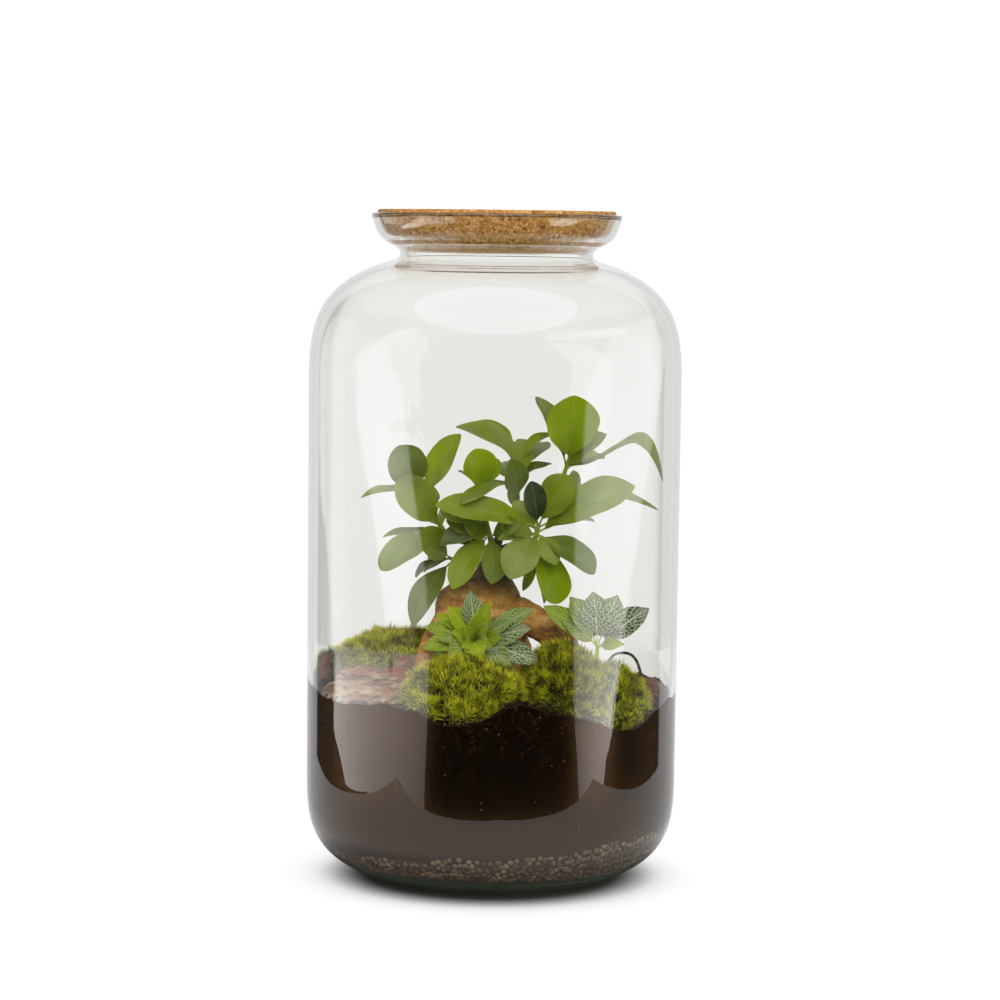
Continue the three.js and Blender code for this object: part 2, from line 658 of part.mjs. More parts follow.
Object.entries(barkPieces).forEach(([name, row], i) => {
  const earlier = barkCuts.slice(0, i);
  const cuts = joined([groundCut, trunkCut, ...earlier]);
  addPart(name, largest(makeBark(row).intersect(cavity).subtract(cuts)), "deadBark");
});

const plantCuts = Object.values(nervePlants).map((plant) => makeNervePlant(plant, gap));
let mossCuts = joined([groundCut, trunkCut, deadStemCut, ...barkCuts, ...plantCuts]);
for (const [name, cushion] of Object.entries(mossCushions)) {
  addPart(name, largest(makeMoss(cushion).intersect(cavity).subtract(mossCuts)), "moss");
  mossCuts = mossCuts.add(makeMoss(cushion, gap));
}
addPart("dead_stem", stem(deadStem, 5), "deadStem");

export default terrarium;
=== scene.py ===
# Looks of a planted glass jar: a ginseng fig, nerve plants and moss under a cork lid.
# Tables are in millimetres, as in the part's own source, and meshes in metres.
import bmesh
import bpy
import math
import random
from mathutils import Matrix, Vector, noise


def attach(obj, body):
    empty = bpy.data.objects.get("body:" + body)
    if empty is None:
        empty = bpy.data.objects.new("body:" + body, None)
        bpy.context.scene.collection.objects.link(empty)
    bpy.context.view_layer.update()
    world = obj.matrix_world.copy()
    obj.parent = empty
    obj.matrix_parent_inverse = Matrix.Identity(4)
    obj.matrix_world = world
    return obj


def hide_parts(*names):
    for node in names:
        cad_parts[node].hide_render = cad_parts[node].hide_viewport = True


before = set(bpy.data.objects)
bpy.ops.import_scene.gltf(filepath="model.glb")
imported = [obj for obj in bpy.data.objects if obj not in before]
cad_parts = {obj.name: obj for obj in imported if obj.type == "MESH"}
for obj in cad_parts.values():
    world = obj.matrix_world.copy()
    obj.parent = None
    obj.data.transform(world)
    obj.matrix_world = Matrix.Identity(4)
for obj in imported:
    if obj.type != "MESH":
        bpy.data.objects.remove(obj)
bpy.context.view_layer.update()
mm = 0.001


# Small helpers

def linear(hexColour):
    parts = [int(hexColour[i:i + 2], 16) / 255 for i in (1, 3, 5)]
    return [c / 12.92 if c <= 0.04045 else ((c + 0.055) / 1.055) ** 2.4 for c in parts] + [1.0]


def addNode(tree, kind, inputs=(), output=0, stops=(), **settings):
    # An input is a number, a hex colour or the output that feeds it. Output None gives all outputs.
    node = tree.nodes.new("ShaderNode" + kind)
    for name, value in settings.items():
        setattr(node, name, value)
    for socket, value in dict(inputs).items():
        if isinstance(value, bpy.types.NodeSocket):
            tree.links.new(value, node.inputs[socket])
        else:
            node.inputs[socket].default_value = linear(value) if isinstance(value, str) else value
    if stops:
        ramp = node.color_ramp
        while len(ramp.elements) < len(stops):
            ramp.elements.new(0.5)
        for element, (place, colour) in zip(ramp.elements, stops):
            element.position = place
            element.color = linear(colour)
    return node.outputs if output is None else node.outputs[output]


def newMaterial(name, **shaderValues):
    material = bpy.data.materials.new(name)
    material.use_nodes = True
    tree = material.node_tree
    shader = tree.nodes["Principled BSDF"]
    for socket, value in shaderValues.items():
        shader.inputs[socket.replace("_", " ")].default_value = value
    return material, tree, shader


def dress(tree, shader, colour, height, strength, depth):
    # the colour all over, and a fine relief, with its depth in metres
    tree.links.new(colour, shader.inputs["Base Color"])
    relief = addNode(tree, "Bump", {"Height": height, "Strength": strength, "Distance": depth})
    tree.links.new(relief, shader.inputs["Normal"])


def twoSurfaces(tree, factor, first, second):
    # what the material shows: the second surface in place of the first, as far as factor says
    both = addNode(tree, "MixShader", {0: factor, 1: first, 2: second})
    tree.links.new(both, tree.nodes["Material Output"].inputs["Surface"])


def addObject(name, data):
    thing = bpy.data.objects.new(name, data)
    bpy.context.scene.collection.objects.link(thing)
    return thing


def selectOnly(*pieces):
    bpy.ops.object.select_all(action="DESELECT")
    for piece in pieces:
        piece.select_set(True)
    if pieces:
        bpy.context.view_layer.objects.active = pieces[0]


def applyModifier(piece, kind, **settings):
    selectOnly(piece)
    modifier = piece.modifiers.new(kind.lower(), kind)
    for name, value in settings.items():
        setattr(modifier, name, value)
    bpy.ops.object.modifier_apply(modifier=modifier.name)


def joinPieces(pieces):
    selectOnly(*pieces)
    bpy.ops.object.join()
    return bpy.context.object


def bakePlace():
    bpy.ops.object.transform_apply(location=True, rotation=True, scale=True)


def finishPiece(piece, name, material, node):
    selectOnly(piece)
    bakePlace()
    piece.name = name
    piece.data.name = name
    piece.data.materials.clear()
    piece.data.materials.append(material)
    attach(piece, "root")
    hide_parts(node)


def curved(points, steps):
    # points of any length joined by a smooth curve, with steps between each two
    route = []
    last = len(points) - 1
    for i in range(last):
        before, start = points[max(i - 1, 0)], points[i]
        end, after = points[i + 1], points[min(i + 2, last)]
        for step in range(steps):
            t = step / steps
            route.append([0.5 * (2 * b + (c - a) * t + (2 * a - 5 * b + 4 * c - d) * t * t
                                 + (3 * b - a - 3 * c + d) * t ** 3)
                          for a, b, c, d in zip(before, start, end, after)])
    route.append(list(points[last]))
    return route


def between(table, at):
    # value at a place in a table of (place, value), in a straight line between entries
    for (low, first), (high, second) in zip(table, table[1:]):
        if at <= high:
            share = max(0.0, (at - low) / (high - low))
            return first + (second - first) * share
    return table[-1][1]


def circlePoints(count, pointAt):
    return [pointAt(2 * math.pi * k / count) for k in range(count)]


def placeSelected(piece, points):
    mesh = bmesh.from_edit_mesh(piece.data)
    picked = [vertex for vertex in mesh.verts if vertex.select]
    for vertex, point in zip(picked, points):
        vertex.co = Vector(point) * mm
    bmesh.update_edit_mesh(piece.data)


def faceOutwards():
    bpy.ops.mesh.select_all(action="SELECT")
    bpy.ops.mesh.normals_make_consistent(inside=False)
    bpy.ops.object.mode_set(mode="OBJECT")
    bpy.ops.object.shade_smooth()


def loftRings(rings):
    # a circle drawn out from ring to ring and closed at both ends
    count = len(rings[0])
    selectOnly()
    bpy.ops.mesh.primitive_circle_add(vertices=count, radius=1, fill_type="NOTHING")
    piece = bpy.context.object
    bpy.ops.object.mode_set(mode="EDIT")
    placeSelected(piece, rings[0])
    for ring in rings[1:]:
        bpy.ops.mesh.extrude_region_move()
        placeSelected(piece, ring)
    bpy.ops.mesh.edge_face_add()
    bpy.ops.mesh.select_all(action="DESELECT")
    mesh = bmesh.from_edit_mesh(piece.data)
    mesh.verts.ensure_lookup_table()
    for vertex in mesh.verts[:count]:
        vertex.select = True
    mesh.select_flush(True)
    bmesh.update_edit_mesh(piece.data)
    bpy.ops.mesh.edge_face_add()
    faceOutwards()
    return piece


def spinProfile(profile, steps):
    # one point drawn out along the profile, then spun round the upright axis
    selectOnly()
    bpy.ops.mesh.primitive_plane_add(size=0.01)
    piece = bpy.context.object
    bpy.ops.object.mode_set(mode="EDIT")
    bpy.ops.mesh.merge(type="CENTER")
    placeSelected(piece, [(profile[0][0], 0, profile[0][1])])
    for r, z in profile[1:]:
        bpy.ops.mesh.extrude_region_move()
        placeSelected(piece, [(r, 0, z)])
    bpy.ops.mesh.select_all(action="SELECT")
    bpy.ops.mesh.spin(steps=steps, angle=2 * math.pi, center=(0, 0, 0), axis=(0, 0, 1))
    bpy.ops.mesh.select_all(action="SELECT")
    bpy.ops.mesh.remove_doubles(threshold=1e-6)
    faceOutwards()
    return piece


def tube(route, sides):
    # rings round a route of (x, y, z, radius), turned as little as possible from one to the next
    rings = []
    normal = None
    for i, point in enumerate(route):
        here = Vector(point[:3])
        ahead = Vector(route[min(i + 1, len(route) - 1)][:3])
        behind = Vector(route[max(i - 1, 0)][:3])
        along = (ahead - behind).normalized()
        if normal is None:
            normal = along.orthogonal().normalized()
        normal = (normal - along * normal.dot(along)).normalized()
        side = along.cross(normal)
        rings.append(circlePoints(sides, lambda a: here + (normal * math.cos(a)
                                                           + side * math.sin(a)) * point[3]))
    return loftRings(rings)


def roughen(piece, depth, size, stretch=(1, 1, 1), seed=0, ridged=False, limit=None):
    # moves each vertex along its normal by smooth noise, depth and size in millimetres
    mesh = piece.data
    normals = [vertex.normal.copy() for vertex in mesh.vertices]
    shift = Vector((seed * 3.7, seed * 1.9, seed * 5.3))
    for vertex, normal in zip(mesh.vertices, normals):
        at = Vector([vertex.co[k] / mm * stretch[k] / size for k in range(3)]) + shift
        value = noise.noise(at) + 0.5 * noise.noise(at * 2.1) + 0.25 * noise.noise(at * 4.3)
        if ridged:
            value = 0.6 - 1.6 * abs(value)
        share = limit(vertex.co / mm) if limit else 1
        vertex.co += normal * (value * depth * share * mm)
    mesh.update()


def keepInside(piece, inset):
    # presses what would stand through the glass back to this far from it
    for vertex in piece.data.vertices:
        reach = math.hypot(vertex.co.x, vertex.co.y)
        most = (innerRadius(vertex.co.z / mm) - inset) * mm
        if reach > most:
            vertex.co.x *= most / reach
            vertex.co.y *= most / reach


def paintValue(piece, name, value):
    layer = piece.data.attributes.get(name) or piece.data.attributes.new(name, "FLOAT", "POINT")
    count = len(piece.data.vertices)
    layer.data.foreach_set("value", [value] * count if isinstance(value, (int, float)) else value)


# Camera, light and stage

# Heights, distances and floor corners are in metres. Fades are (from, to).
studio = {
    "cameraPlace": (0.00384, -1.7, 0.4),
    "aim": (0.00384, 0, 0.232),
    "lens": 99.2,
    "roll": 0.7,
    "floorCorners": [(-0.38, -0.3), (-0.16, -0.31), (0.024, -0.335), (0.41, -0.255),
                     (-0.38, 0.9), (-0.16, 0.9), (0.024, 0.9), (0.41, 0.9)],
    # the paper's greys and the fades below paint the jar's shadow on the floor, one set for the camera and
    # one for light and reflections
    "paper": "#5b5954",
    "paintedShadowLightPaper": "#6a6965",
    "paintedShadowCentre": (0, 0.011, 0),
    "paintedShadowCameraFade": (0.069, 0.125),
    "paintedShadowLightFade": (0.088, 0.14),
    "backdrop": 1.7,
    "backLight": 1.0,
    "frontLight": 0.03,
    "floorLight": 0.94,
    "litFade": (0.86, 0.96),
    "mirroredFade": (0.65, 0.69),
    "mirroredLean": 0.088,
    "bentFade": (0.1, 0.5),
    "bentSides": (0.12, 0.155),
    "bentGrey": 0.62,
    "ceilingFade": (0.15, 0.6),
    "ceilingLight": 0.8,
    "whiteAt": 1.6,
    "shoulder": [(0.3, 0.3), (0.6, 0.6), (0.75, 0.735), (0.88, 0.815), (1.0, 0.865), (1.15, 0.912),
                 (1.35, 0.96)],
}

camera = addObject("camera", bpy.data.cameras.new("camera"))
camera.data.lens = studio["lens"]
camera.data.sensor_width = 36
camera.data.clip_start = 0.05
camera.location = studio["cameraPlace"]
look = Vector(studio["aim"]) - Vector(studio["cameraPlace"])
camera.rotation_euler = (look.to_track_quat("-Z", "Y").to_matrix()
                         @ Matrix.Rotation(math.radians(studio["roll"]), 3, "Z")).to_euler()
bpy.context.scene.camera = camera
view = bpy.context.scene.view_settings
view.view_transform = "Standard"
view.use_curve_mapping = True
view.curve_mapping.white_level = [studio["whiteAt"]] * 3
for light, shown in studio["shoulder"]:
    view.curve_mapping.curves[3].points.new(light / studio["whiteAt"], shown)
view.curve_mapping.update()

lamps = {
    "overhead_softbox": {"shape": "ELLIPSE", "place": (0, -0.5, 1.36), "aim": (0, 0, 0.3),
                         "size": (1.9, 1.7), "brightness": 1.9, "mirrored": True},
    "fill_softbox": {"shape": "RECTANGLE", "place": (0.2, -1.55, 1.05), "aim": (0, 0, 0.15),
                     "size": (1.0, 1.0), "brightness": 6.5, "mirrored": False},
}
# Standing panels round the jar, in rows from the top down: for each corner, degrees round from the camera
# (left negative), height in metres and brightness
standing = {
    "left_softbox": {"reach": 0.95, "rows": [
        [(-84, 0.60, 0.7), (-78, 0.60, 0.7), (-72, 0.61, 0.7), (-68, 0.62, 0.6)],
        [(-88, 0.46, 1.3), (-79, 0.46, 1.3), (-71, 0.47, 1.3), (-65, 0.48, 1.2)],
        [(-88, 0.30, 1.7), (-79, 0.31, 1.8), (-70, 0.32, 1.8), (-61, 0.33, 1.5)],
        [(-88, 0.225, 2.3), (-76, 0.226, 2.4), (-64, 0.228, 2.4), (-53, 0.229, 1.8)],
        [(-84, 0.19, 2.3), (-72, 0.19, 2.4), (-60, 0.19, 2.4), (-49.5, 0.193, 1.8)],
        [(-75.5, 0.154, 2.3), (-66, 0.155, 2.4), (-56, 0.156, 2.3), (-46, 0.158, 1.8)],
        [(-72, 0.119, 2.3), (-62, 0.12, 2.4), (-52, 0.121, 2.2), (-42, 0.123, 1.8)],
        [(-68, 0.083, 1.7), (-58, 0.084, 1.7), (-49, 0.086, 1.5), (-39, 0.087, 1.4)],
        [(-63, 0.04, 1.7), (-54, 0.042, 1.6), (-46, 0.043, 1.4), (-37, 0.044, 1.4)]]},
    "low_left_softbox": {"reach": 0.95, "rows": [
        [(-108.2, 0.02, 1.2), (-84, 0.02, 1.2), (-61, 0.022, 1.2), (-59, 0.022, 1.2), (-36.8, 0.022, 1.2)],
        [(-108, -0.02, 3.4), (-84, -0.015, 3.0), (-61, -0.012, 2.2), (-59, -0.012, 2.2), (-36.5, -0.01, 1.3)],
        [(-107.7, -0.065, 3.4), (-84, -0.06, 2.8), (-61, -0.054, 2.1), (-59, -0.054, 2.0),
         (-36.8, -0.048, 1.2)],
        [(-100, -0.09, 3.3), (-80, -0.087, 2.6), (-61, -0.09, 1.9), (-59, -0.09, 1.8), (-37.8, -0.085, 1.1)],
        [(-95, -0.112, 3.2), (-78, -0.113, 2.4), (-61, -0.114, 1.7), (-59, -0.15, 1.6),
         (-38.5, -0.16, 1.0)]]},
    "side_wall": {"reach": 1.02, "rows": [
        [(-124, 0.75, 0.3), (-100, 0.75, 0.3), (-70, 0.75, 0.2)],
        [(-129, 0.5, 0.9), (-100, 0.5, 0.6), (-70, 0.5, 0.4)],
        [(-130.5, 0.28, 1.2), (-100, 0.28, 0.65), (-65, 0.28, 0.4)],
        [(-130.5, 0.2, 1.2), (-100, 0.2, 0.65), (-65, 0.2, 0.4)],
        [(-128.5, 0.146, 1.2), (-95, 0.146, 0.55), (-55, 0.146, 0.3)],
        [(-120.5, 0.11, 1.2), (-90, 0.11, 0.5), (-50, 0.11, 0.3)],
        [(-116, 0.073, 1.1), (-90, 0.073, 0.4), (-45, 0.073, 0.3)],
        [(-112, 0.037, 1.0), (-90, 0.037, 0.4), (-45, 0.037, 0.3)],
        [(-110, 0.0, 0.9), (-90, 0.0, 0.4), (-45, 0.0, 0.3)]]},
    "right_softbox": {"reach": 0.9, "rows": [
        [(74, 0.78, 0.3), (90, 0.76, 0.3), (108, 0.74, 0.3), (124, 0.72, 0.3)],
        [(74, 0.593, 1.4), (90, 0.55, 1.4), (108, 0.49, 1.2), (124, 0.436, 0.9)],
        [(57, 0.299, 1.3), (78, 0.29, 1.7), (98, 0.28, 1.5), (117, 0.265, 1.1)],
        [(53, 0.225, 1.6), (72, 0.224, 2.1), (91, 0.223, 1.9), (109.5, 0.221, 1.3)],
        [(52, 0.199, 1.8), (70, 0.198, 2.4), (87, 0.196, 2.2), (104.5, 0.194, 1.5)],
        [(48.5, 0.165, 1.7), (65, 0.163, 2.3), (82, 0.161, 2.3), (98, 0.159, 1.7)],
        [(48, 0.129, 1.5), (63.5, 0.127, 2.2), (79, 0.126, 2.3), (94.8, 0.124, 1.8)],
        [(48, 0.094, 1.4), (61, 0.092, 2.0), (75, 0.091, 2.1), (88.3, 0.089, 1.8)],
        [(48.4, 0.041, 1.5), (60, 0.04, 2.1), (72, 0.037, 2.5), (84, 0.036, 2.8)],
        [(49, -0.012, 1.3), (58, -0.013, 2.2), (68, -0.015, 3.2), (77.6, -0.017, 4.0)],
        [(49.3, -0.039, 1.3), (58, -0.04, 2.2), (67, -0.042, 3.3), (75.6, -0.044, 4.2)],
        [(51, -0.066, 1.4), (58, -0.067, 2.2), (64, -0.069, 3.0), (70.8, -0.07, 3.4)],
        [(53.7, -0.13, 1.5), (58, -0.13, 2.0), (62, -0.13, 2.4), (66.7, -0.13, 2.6)]]},
}

for name, row in lamps.items():
    lamp = bpy.data.lights.new(name, "AREA")
    lamp.shape = row["shape"]
    lamp.size, lamp.size_y = width, depth = row["size"]
    filled = math.pi / 4 if row["shape"] == "ELLIPSE" else 1
    lamp.energy = math.pi * row["brightness"] * width * depth * filled
    box = addObject(name, lamp)
    box.location = row["place"]
    box.rotation_euler = (Vector(row["aim"]) - Vector(row["place"])).to_track_quat("-Z", "Y").to_euler()
    box.visible_camera = False
    box.visible_glossy = row["mirrored"]
    box.visible_transmission = row["mirrored"]

for name, box in standing.items():
    rows = box["rows"][::-1]
    corners = [corner for row in rows for corner in row]
    selectOnly()
    bpy.ops.mesh.primitive_grid_add(x_subdivisions=len(rows[0]) - 1, y_subdivisions=len(rows) - 1, size=1)
    panel = bpy.context.object
    for vertex, (degrees, height, _) in zip(panel.data.vertices, corners):
        turn = math.radians(degrees)
        vertex.co = (box["reach"] * math.sin(turn), -box["reach"] * math.cos(turn), height)
    paintValue(panel, "glow", [corner[2] for corner in corners])
    panel.name = name
    cloth, tree, shader = newMaterial(name + " cloth", Base_Color=(0, 0, 0, 1),
                                      Emission_Color=(1, 0.99, 0.975, 1))
    tree.links.new(addNode(tree, "Attribute", output="Fac", attribute_name="glow"),
                   shader.inputs["Emission Strength"])
    panel.data.materials.append(cloth)
    panel.visible_camera = False
    panel.visible_shadow = False


def crossing(value, key, low=0.0, high=1.0):
    # inputs that go from low to high as value crosses one of the studio's fades
    start, end = studio[key]
    return {"Value": value, "From Min": start, "From Max": end, "To Min": low, "To Max": high}


soft = {"interpolation_type": "SMOOTHSTEP"}
world = bpy.data.worlds.new("pale studio")
bpy.context.scene.world = world
world.use_nodes = True
sky = world.node_tree
sky.nodes.clear()
direction = addNode(sky, "TexCoord", output="Generated")
sideways, backwards, upwards = addNode(sky, "SeparateXYZ", {0: direction}, None)
front, back = studio["frontLight"], studio["backLight"]
lit = addNode(sky, "MapRange", crossing(backwards, "litFade", front, back), **soft)
# what the glass mirrors at its edges: the backdrop out to its sides
lean = addNode(sky, "Math", {0: sideways, 1: studio["mirroredLean"]}, operation="MULTIPLY")
leaning = addNode(sky, "Math", {0: backwards, 1: lean}, operation="ADD")
mirrored = addNode(sky, "MapRange", crossing(leaning, "mirroredFade", front, back), **soft)
# what the glass bends: a wide pale backdrop, greyer past its sides, and the bright ceiling
wide = addNode(sky, "MapRange", crossing(backwards, "bentFade", front))
aside = addNode(sky, "Math", {0: sideways}, operation="ABSOLUTE")
greyer = addNode(sky, "MapRange", crossing(aside, "bentSides", 1.0, studio["bentGrey"]), **soft)
ceiling = addNode(sky, "MapRange", crossing(upwards, "ceilingFade", high=studio["ceilingLight"]))
toned = addNode(sky, "Math", {0: wide, 1: greyer}, operation="MULTIPLY")
bent = addNode(sky, "Math", {0: toned, 1: ceiling}, operation="MAXIMUM")
path = addNode(sky, "LightPath", output=None)
outer = addNode(sky, "Mix", {0: path["Is Glossy Ray"], 2: lit, 3: mirrored}, data_type="FLOAT")
around = addNode(sky, "Mix", {0: path["Is Transmission Ray"], 2: outer, 3: bent}, data_type="FLOAT")
strength = addNode(sky, "Mix", {0: path["Is Camera Ray"], 2: around, 3: studio["backdrop"]},
                   data_type="FLOAT")
glow = addNode(sky, "Background", {"Color": (1, 1, 0.995, 1), "Strength": strength})
addNode(sky, "OutputWorld", {"Surface": glow}, None)

selectOnly()
bpy.ops.mesh.primitive_grid_add(x_subdivisions=3, y_subdivisions=1, size=1)
floor = bpy.context.object
floor.name = "pale_floor"
for vertex, (x, y) in zip(floor.data.vertices, studio["floorCorners"]):
    vertex.co.x, vertex.co.y = x, y
# Paper with a painted shadow: grey under and round the jar, where its own shade falls, fading into an even
# white glow all round it
paper, tree, shader = newMaterial("matt paper with painted shadow", Roughness=0.9)
place = addNode(tree, "Mapping", {"Vector": addNode(tree, "TexCoord", output="Object"),
                                  "Location": studio["paintedShadowCentre"], "Scale": (0.9, 1, 1)})
away = addNode(tree, "VectorMath", {0: place}, "Value", operation="LENGTH")
seen = addNode(tree, "LightPath", output="Is Camera Ray")
tone = addNode(tree, "Mix", {0: seen, 6: studio["paintedShadowLightPaper"], 7: studio["paper"]}, 2, data_type="RGBA")
tree.links.new(tone, shader.inputs["Base Color"])
near, far = [addNode(tree, "MapRange", crossing(away, key), **soft)
             for key in ("paintedShadowCameraFade", "paintedShadowLightFade")]
outside = addNode(tree, "Mix", {0: seen, 2: far, 3: near}, data_type="FLOAT")
level = addNode(tree, "MapRange", {"Value": seen, "To Min": studio["floorLight"],
                                   "To Max": studio["backdrop"]})
bright = addNode(tree, "Emission", {"Color": (1, 1, 1, 1), "Strength": level})
twoSurfaces(tree, outside, shader.outputs[0], bright)
floor.data.materials.append(paper)
print("stage, camera and light are set")


# Materials

def glassMaterial():
    # Soda-lime glass, blown: clear, with a faint green where it is thick. Lamps shine straight through.
    material, tree, shader = newMaterial("soda-lime glass", Roughness=0.0, IOR=1.5, Transmission_Weight=1.0)
    height = addNode(tree, "SeparateXYZ", {0: addNode(tree, "TexCoord", output="Object")}, 2)
    thin = addNode(tree, "MapRange", {"Value": height, "From Min": 0.004, "From Max": 0.012}, **soft)
    tint = addNode(tree, "Mix", {0: thin, 6: "#3f7038", 7: "#fefefb"}, 2, data_type="RGBA")
    tree.links.new(tint, shader.inputs["Base Color"])
    path = addNode(tree, "LightPath", output=None)
    passing = addNode(tree, "Math", {0: path["Is Shadow Ray"], 1: path["Is Diffuse Ray"]},
                      operation="MAXIMUM")
    twoSurfaces(tree, passing, shader.outputs[0], addNode(tree, "BsdfTransparent", {"Color": "#fbfbf8"}))
    return material


def corkMaterial():
    # Pressed cork granules, 2 to 4 mm, glued with dark seams and a few dark bark grains
    material, tree, shader = newMaterial("agglomerated cork", Roughness=0.85)
    place = addNode(tree, "TexCoord", output="Object")
    grains = addNode(tree, "TexVoronoi", {"Vector": place, "Scale": 560}, "Color")
    tones = addNode(tree, "ValToRGB", {0: addNode(tree, "SeparateColor", {0: grains})},
                    stops=[(0, "#7a4a24"), (0.06, "#a66f36"), (0.3, "#c08c4a"), (0.65, "#d09d58"),
                           (1, "#dcb075")])
    seams = addNode(tree, "TexVoronoi", {"Vector": place, "Scale": 560}, "Distance",
                    feature="DISTANCE_TO_EDGE")
    dark = addNode(tree, "MapRange", {"Value": seams, "From Max": 0.1})
    fine = addNode(tree, "TexNoise", {"Vector": place, "Scale": 900, "Detail": 4})
    speckled = addNode(tree, "Mix", {0: 0.35, 6: tones, 7: fine}, 2, data_type="RGBA", blend_type="OVERLAY")
    seamed = addNode(tree, "Mix", {0: dark, 6: "#8a5a2c", 7: speckled}, 2, data_type="RGBA")
    relief = addNode(tree, "Math", {0: dark, 1: fine}, operation="ADD")
    dress(tree, shader, seamed, relief, 0.5, 0.0006)
    return material


def clayMaterial():
    # Expanded clay, fired: dusty brown with darker scorched pellets and fine pores
    material, tree, shader = newMaterial("expanded clay", Roughness=0.9)
    place = addNode(tree, "TexCoord", output="Object")
    patches = addNode(tree, "TexNoise", {"Vector": place, "Scale": 160, "Detail": 3})
    tones = addNode(tree, "ValToRGB", {0: patches},
                    stops=[(0.3, "#352a1f"), (0.45, "#4f4030"), (0.6, "#68563f"), (0.72, "#7d6a4e")])
    pores = addNode(tree, "TexNoise", {"Vector": place, "Scale": 1600, "Detail": 4})
    baked = addNode(tree, "Mix", {0: 0.4, 6: tones, 7: pores}, 2, data_type="RGBA", blend_type="OVERLAY")
    # low down the grit between the pellets is painted green, where the glass is thick: painted light of the
    # green glass base, not the grit's own colour
    height = addNode(tree, "SeparateXYZ", {0: place}, 2)
    low = addNode(tree, "MapRange", {"Value": height, "From Min": 0.018, "From Max": 0.012})
    grit = addNode(tree, "Mix", {0: low, 6: "#382e22", 7: "#26442c"}, 2, data_type="RGBA")
    loose = addNode(tree, "Attribute", output="Fac", attribute_name="tone")
    colour = addNode(tree, "Mix", {0: loose, 6: grit, 7: baked}, 2, data_type="RGBA")
    dress(tree, shader, colour, pores, 0.6, 0.0003)
    return material


def soilMaterial():
    # Moist peat compost: near black crumbs, brown fibres and rare pale grit of about 1 mm.
    # Against the glass it is wet, so it mirrors a little and looks smoother than on top.
    material, tree, shader = newMaterial("moist peat compost", Specular_IOR_Level=0.5,
                                         Specular_Tint=linear("#ffbc80"))
    wet = addNode(tree, "Attribute", output="Fac", attribute_name="wet")
    tree.links.new(addNode(tree, "MapRange", {"Value": wet, "To Min": 0.85, "To Max": 0.16}),
                   shader.inputs["Roughness"])
    place = addNode(tree, "TexCoord", output="Object")
    crumbs = addNode(tree, "TexNoise", {"Vector": place, "Scale": 520, "Detail": 5, "Roughness": 0.62})
    lumps = addNode(tree, "TexNoise", {"Vector": place, "Scale": 110, "Detail": 2})
    height = addNode(tree, "SeparateXYZ", {0: place}, 2)
    lighter = addNode(tree, "MapRange", {"Value": height, "From Min": 0.075, "From Max": 0.12,
                                         "To Min": -0.045, "To Max": 0.07})
    grainy = addNode(tree, "Math", {0: crumbs, 1: lighter}, operation="ADD")
    centred = addNode(tree, "Math", {0: lumps, 1: 0.5}, operation="SUBTRACT")
    lumpy = addNode(tree, "Math", {0: centred, 1: 0.25}, operation="MULTIPLY")
    tones = addNode(tree, "ValToRGB", {0: addNode(tree, "Math", {0: grainy, 1: lumpy}, operation="ADD")},
                    stops=[(0.42, "#020100"), (0.55, "#080401"), (0.65, "#190e07"), (0.76, "#3a2414"),
                           (0.9, "#6b4a30")])
    grit = addNode(tree, "TexVoronoi", {"Vector": place, "Scale": 420}, None)
    pick = addNode(tree, "SeparateColor", {0: grit["Color"]})
    rare = addNode(tree, "Math", {0: pick, 1: 0.975}, operation="GREATER_THAN")
    near = addNode(tree, "Math", {0: grit["Distance"], 1: 0.22}, operation="LESS_THAN")
    both = addNode(tree, "Math", {0: rare, 1: near}, operation="MULTIPLY")
    speck = addNode(tree, "Math", {0: both, 1: 0.6}, operation="MULTIPLY")
    colour = addNode(tree, "Mix", {0: speck, 6: tones, 7: "#6d5a46"}, 2, data_type="RGBA")
    depth = addNode(tree, "MapRange", {"Value": wet, "To Min": 1.0, "To Max": 0.03})
    relief = addNode(tree, "Math", {0: crumbs, 1: depth}, operation="MULTIPLY")
    dress(tree, shader, colour, relief, 0.9, 0.0012)
    return material


def figBarkMaterial():
    # Living fig bark: orange brown and smooth on the swollen trunk, grey and wrinkled on the neck
    material, tree, shader = newMaterial("fig bark", Roughness=0.62)
    place = addNode(tree, "TexCoord", output="Object")
    height = addNode(tree, "SeparateXYZ", {0: place}, 2)
    flat = addNode(tree, "Mapping", {"Vector": place, "Scale": (1, 1, 2.6)})
    blotches = addNode(tree, "TexNoise", {"Vector": flat, "Scale": 70, "Detail": 5, "Roughness": 0.6})
    trunkTones = addNode(tree, "ValToRGB", {0: blotches},
                         stops=[(0.28, "#754a24"), (0.42, "#ab7538"), (0.56, "#c99652"), (0.74, "#e2c08c")])
    neckTones = addNode(tree, "ValToRGB", {0: blotches},
                        stops=[(0.3, "#3a2a1c"), (0.5, "#7d6244"), (0.7, "#b09672")])
    upper = addNode(tree, "MapRange", {"Value": height, "From Min": 0.168, "From Max": 0.186}, **soft)
    cracks = addNode(tree, "TexVoronoi", {"Vector": flat, "Scale": 260}, "Distance",
                     feature="DISTANCE_TO_EDGE")
    seam = addNode(tree, "MapRange", {"Value": cracks, "From Max": 0.09})
    fine = addNode(tree, "TexNoise", {"Vector": flat, "Scale": 620, "Detail": 5})
    body = addNode(tree, "Mix", {0: upper, 6: trunkTones, 7: neckTones}, 2, data_type="RGBA")
    faint = addNode(tree, "Math", {0: seam, 1: 0.45, 2: 0.5}, operation="MULTIPLY_ADD")
    veined = addNode(tree, "Mix", {0: faint, 6: "#4a2712", 7: body}, 2, data_type="RGBA")
    colour = addNode(tree, "Mix", {0: 0.5, 6: veined, 7: fine}, 2, data_type="RGBA", blend_type="OVERLAY")
    shallow = addNode(tree, "Math", {0: seam, 1: 0.4}, operation="MULTIPLY")
    relief = addNode(tree, "Math", {0: fine, 1: shallow}, operation="ADD")
    dress(tree, shader, colour, relief, 0.6, 0.0007)
    return material


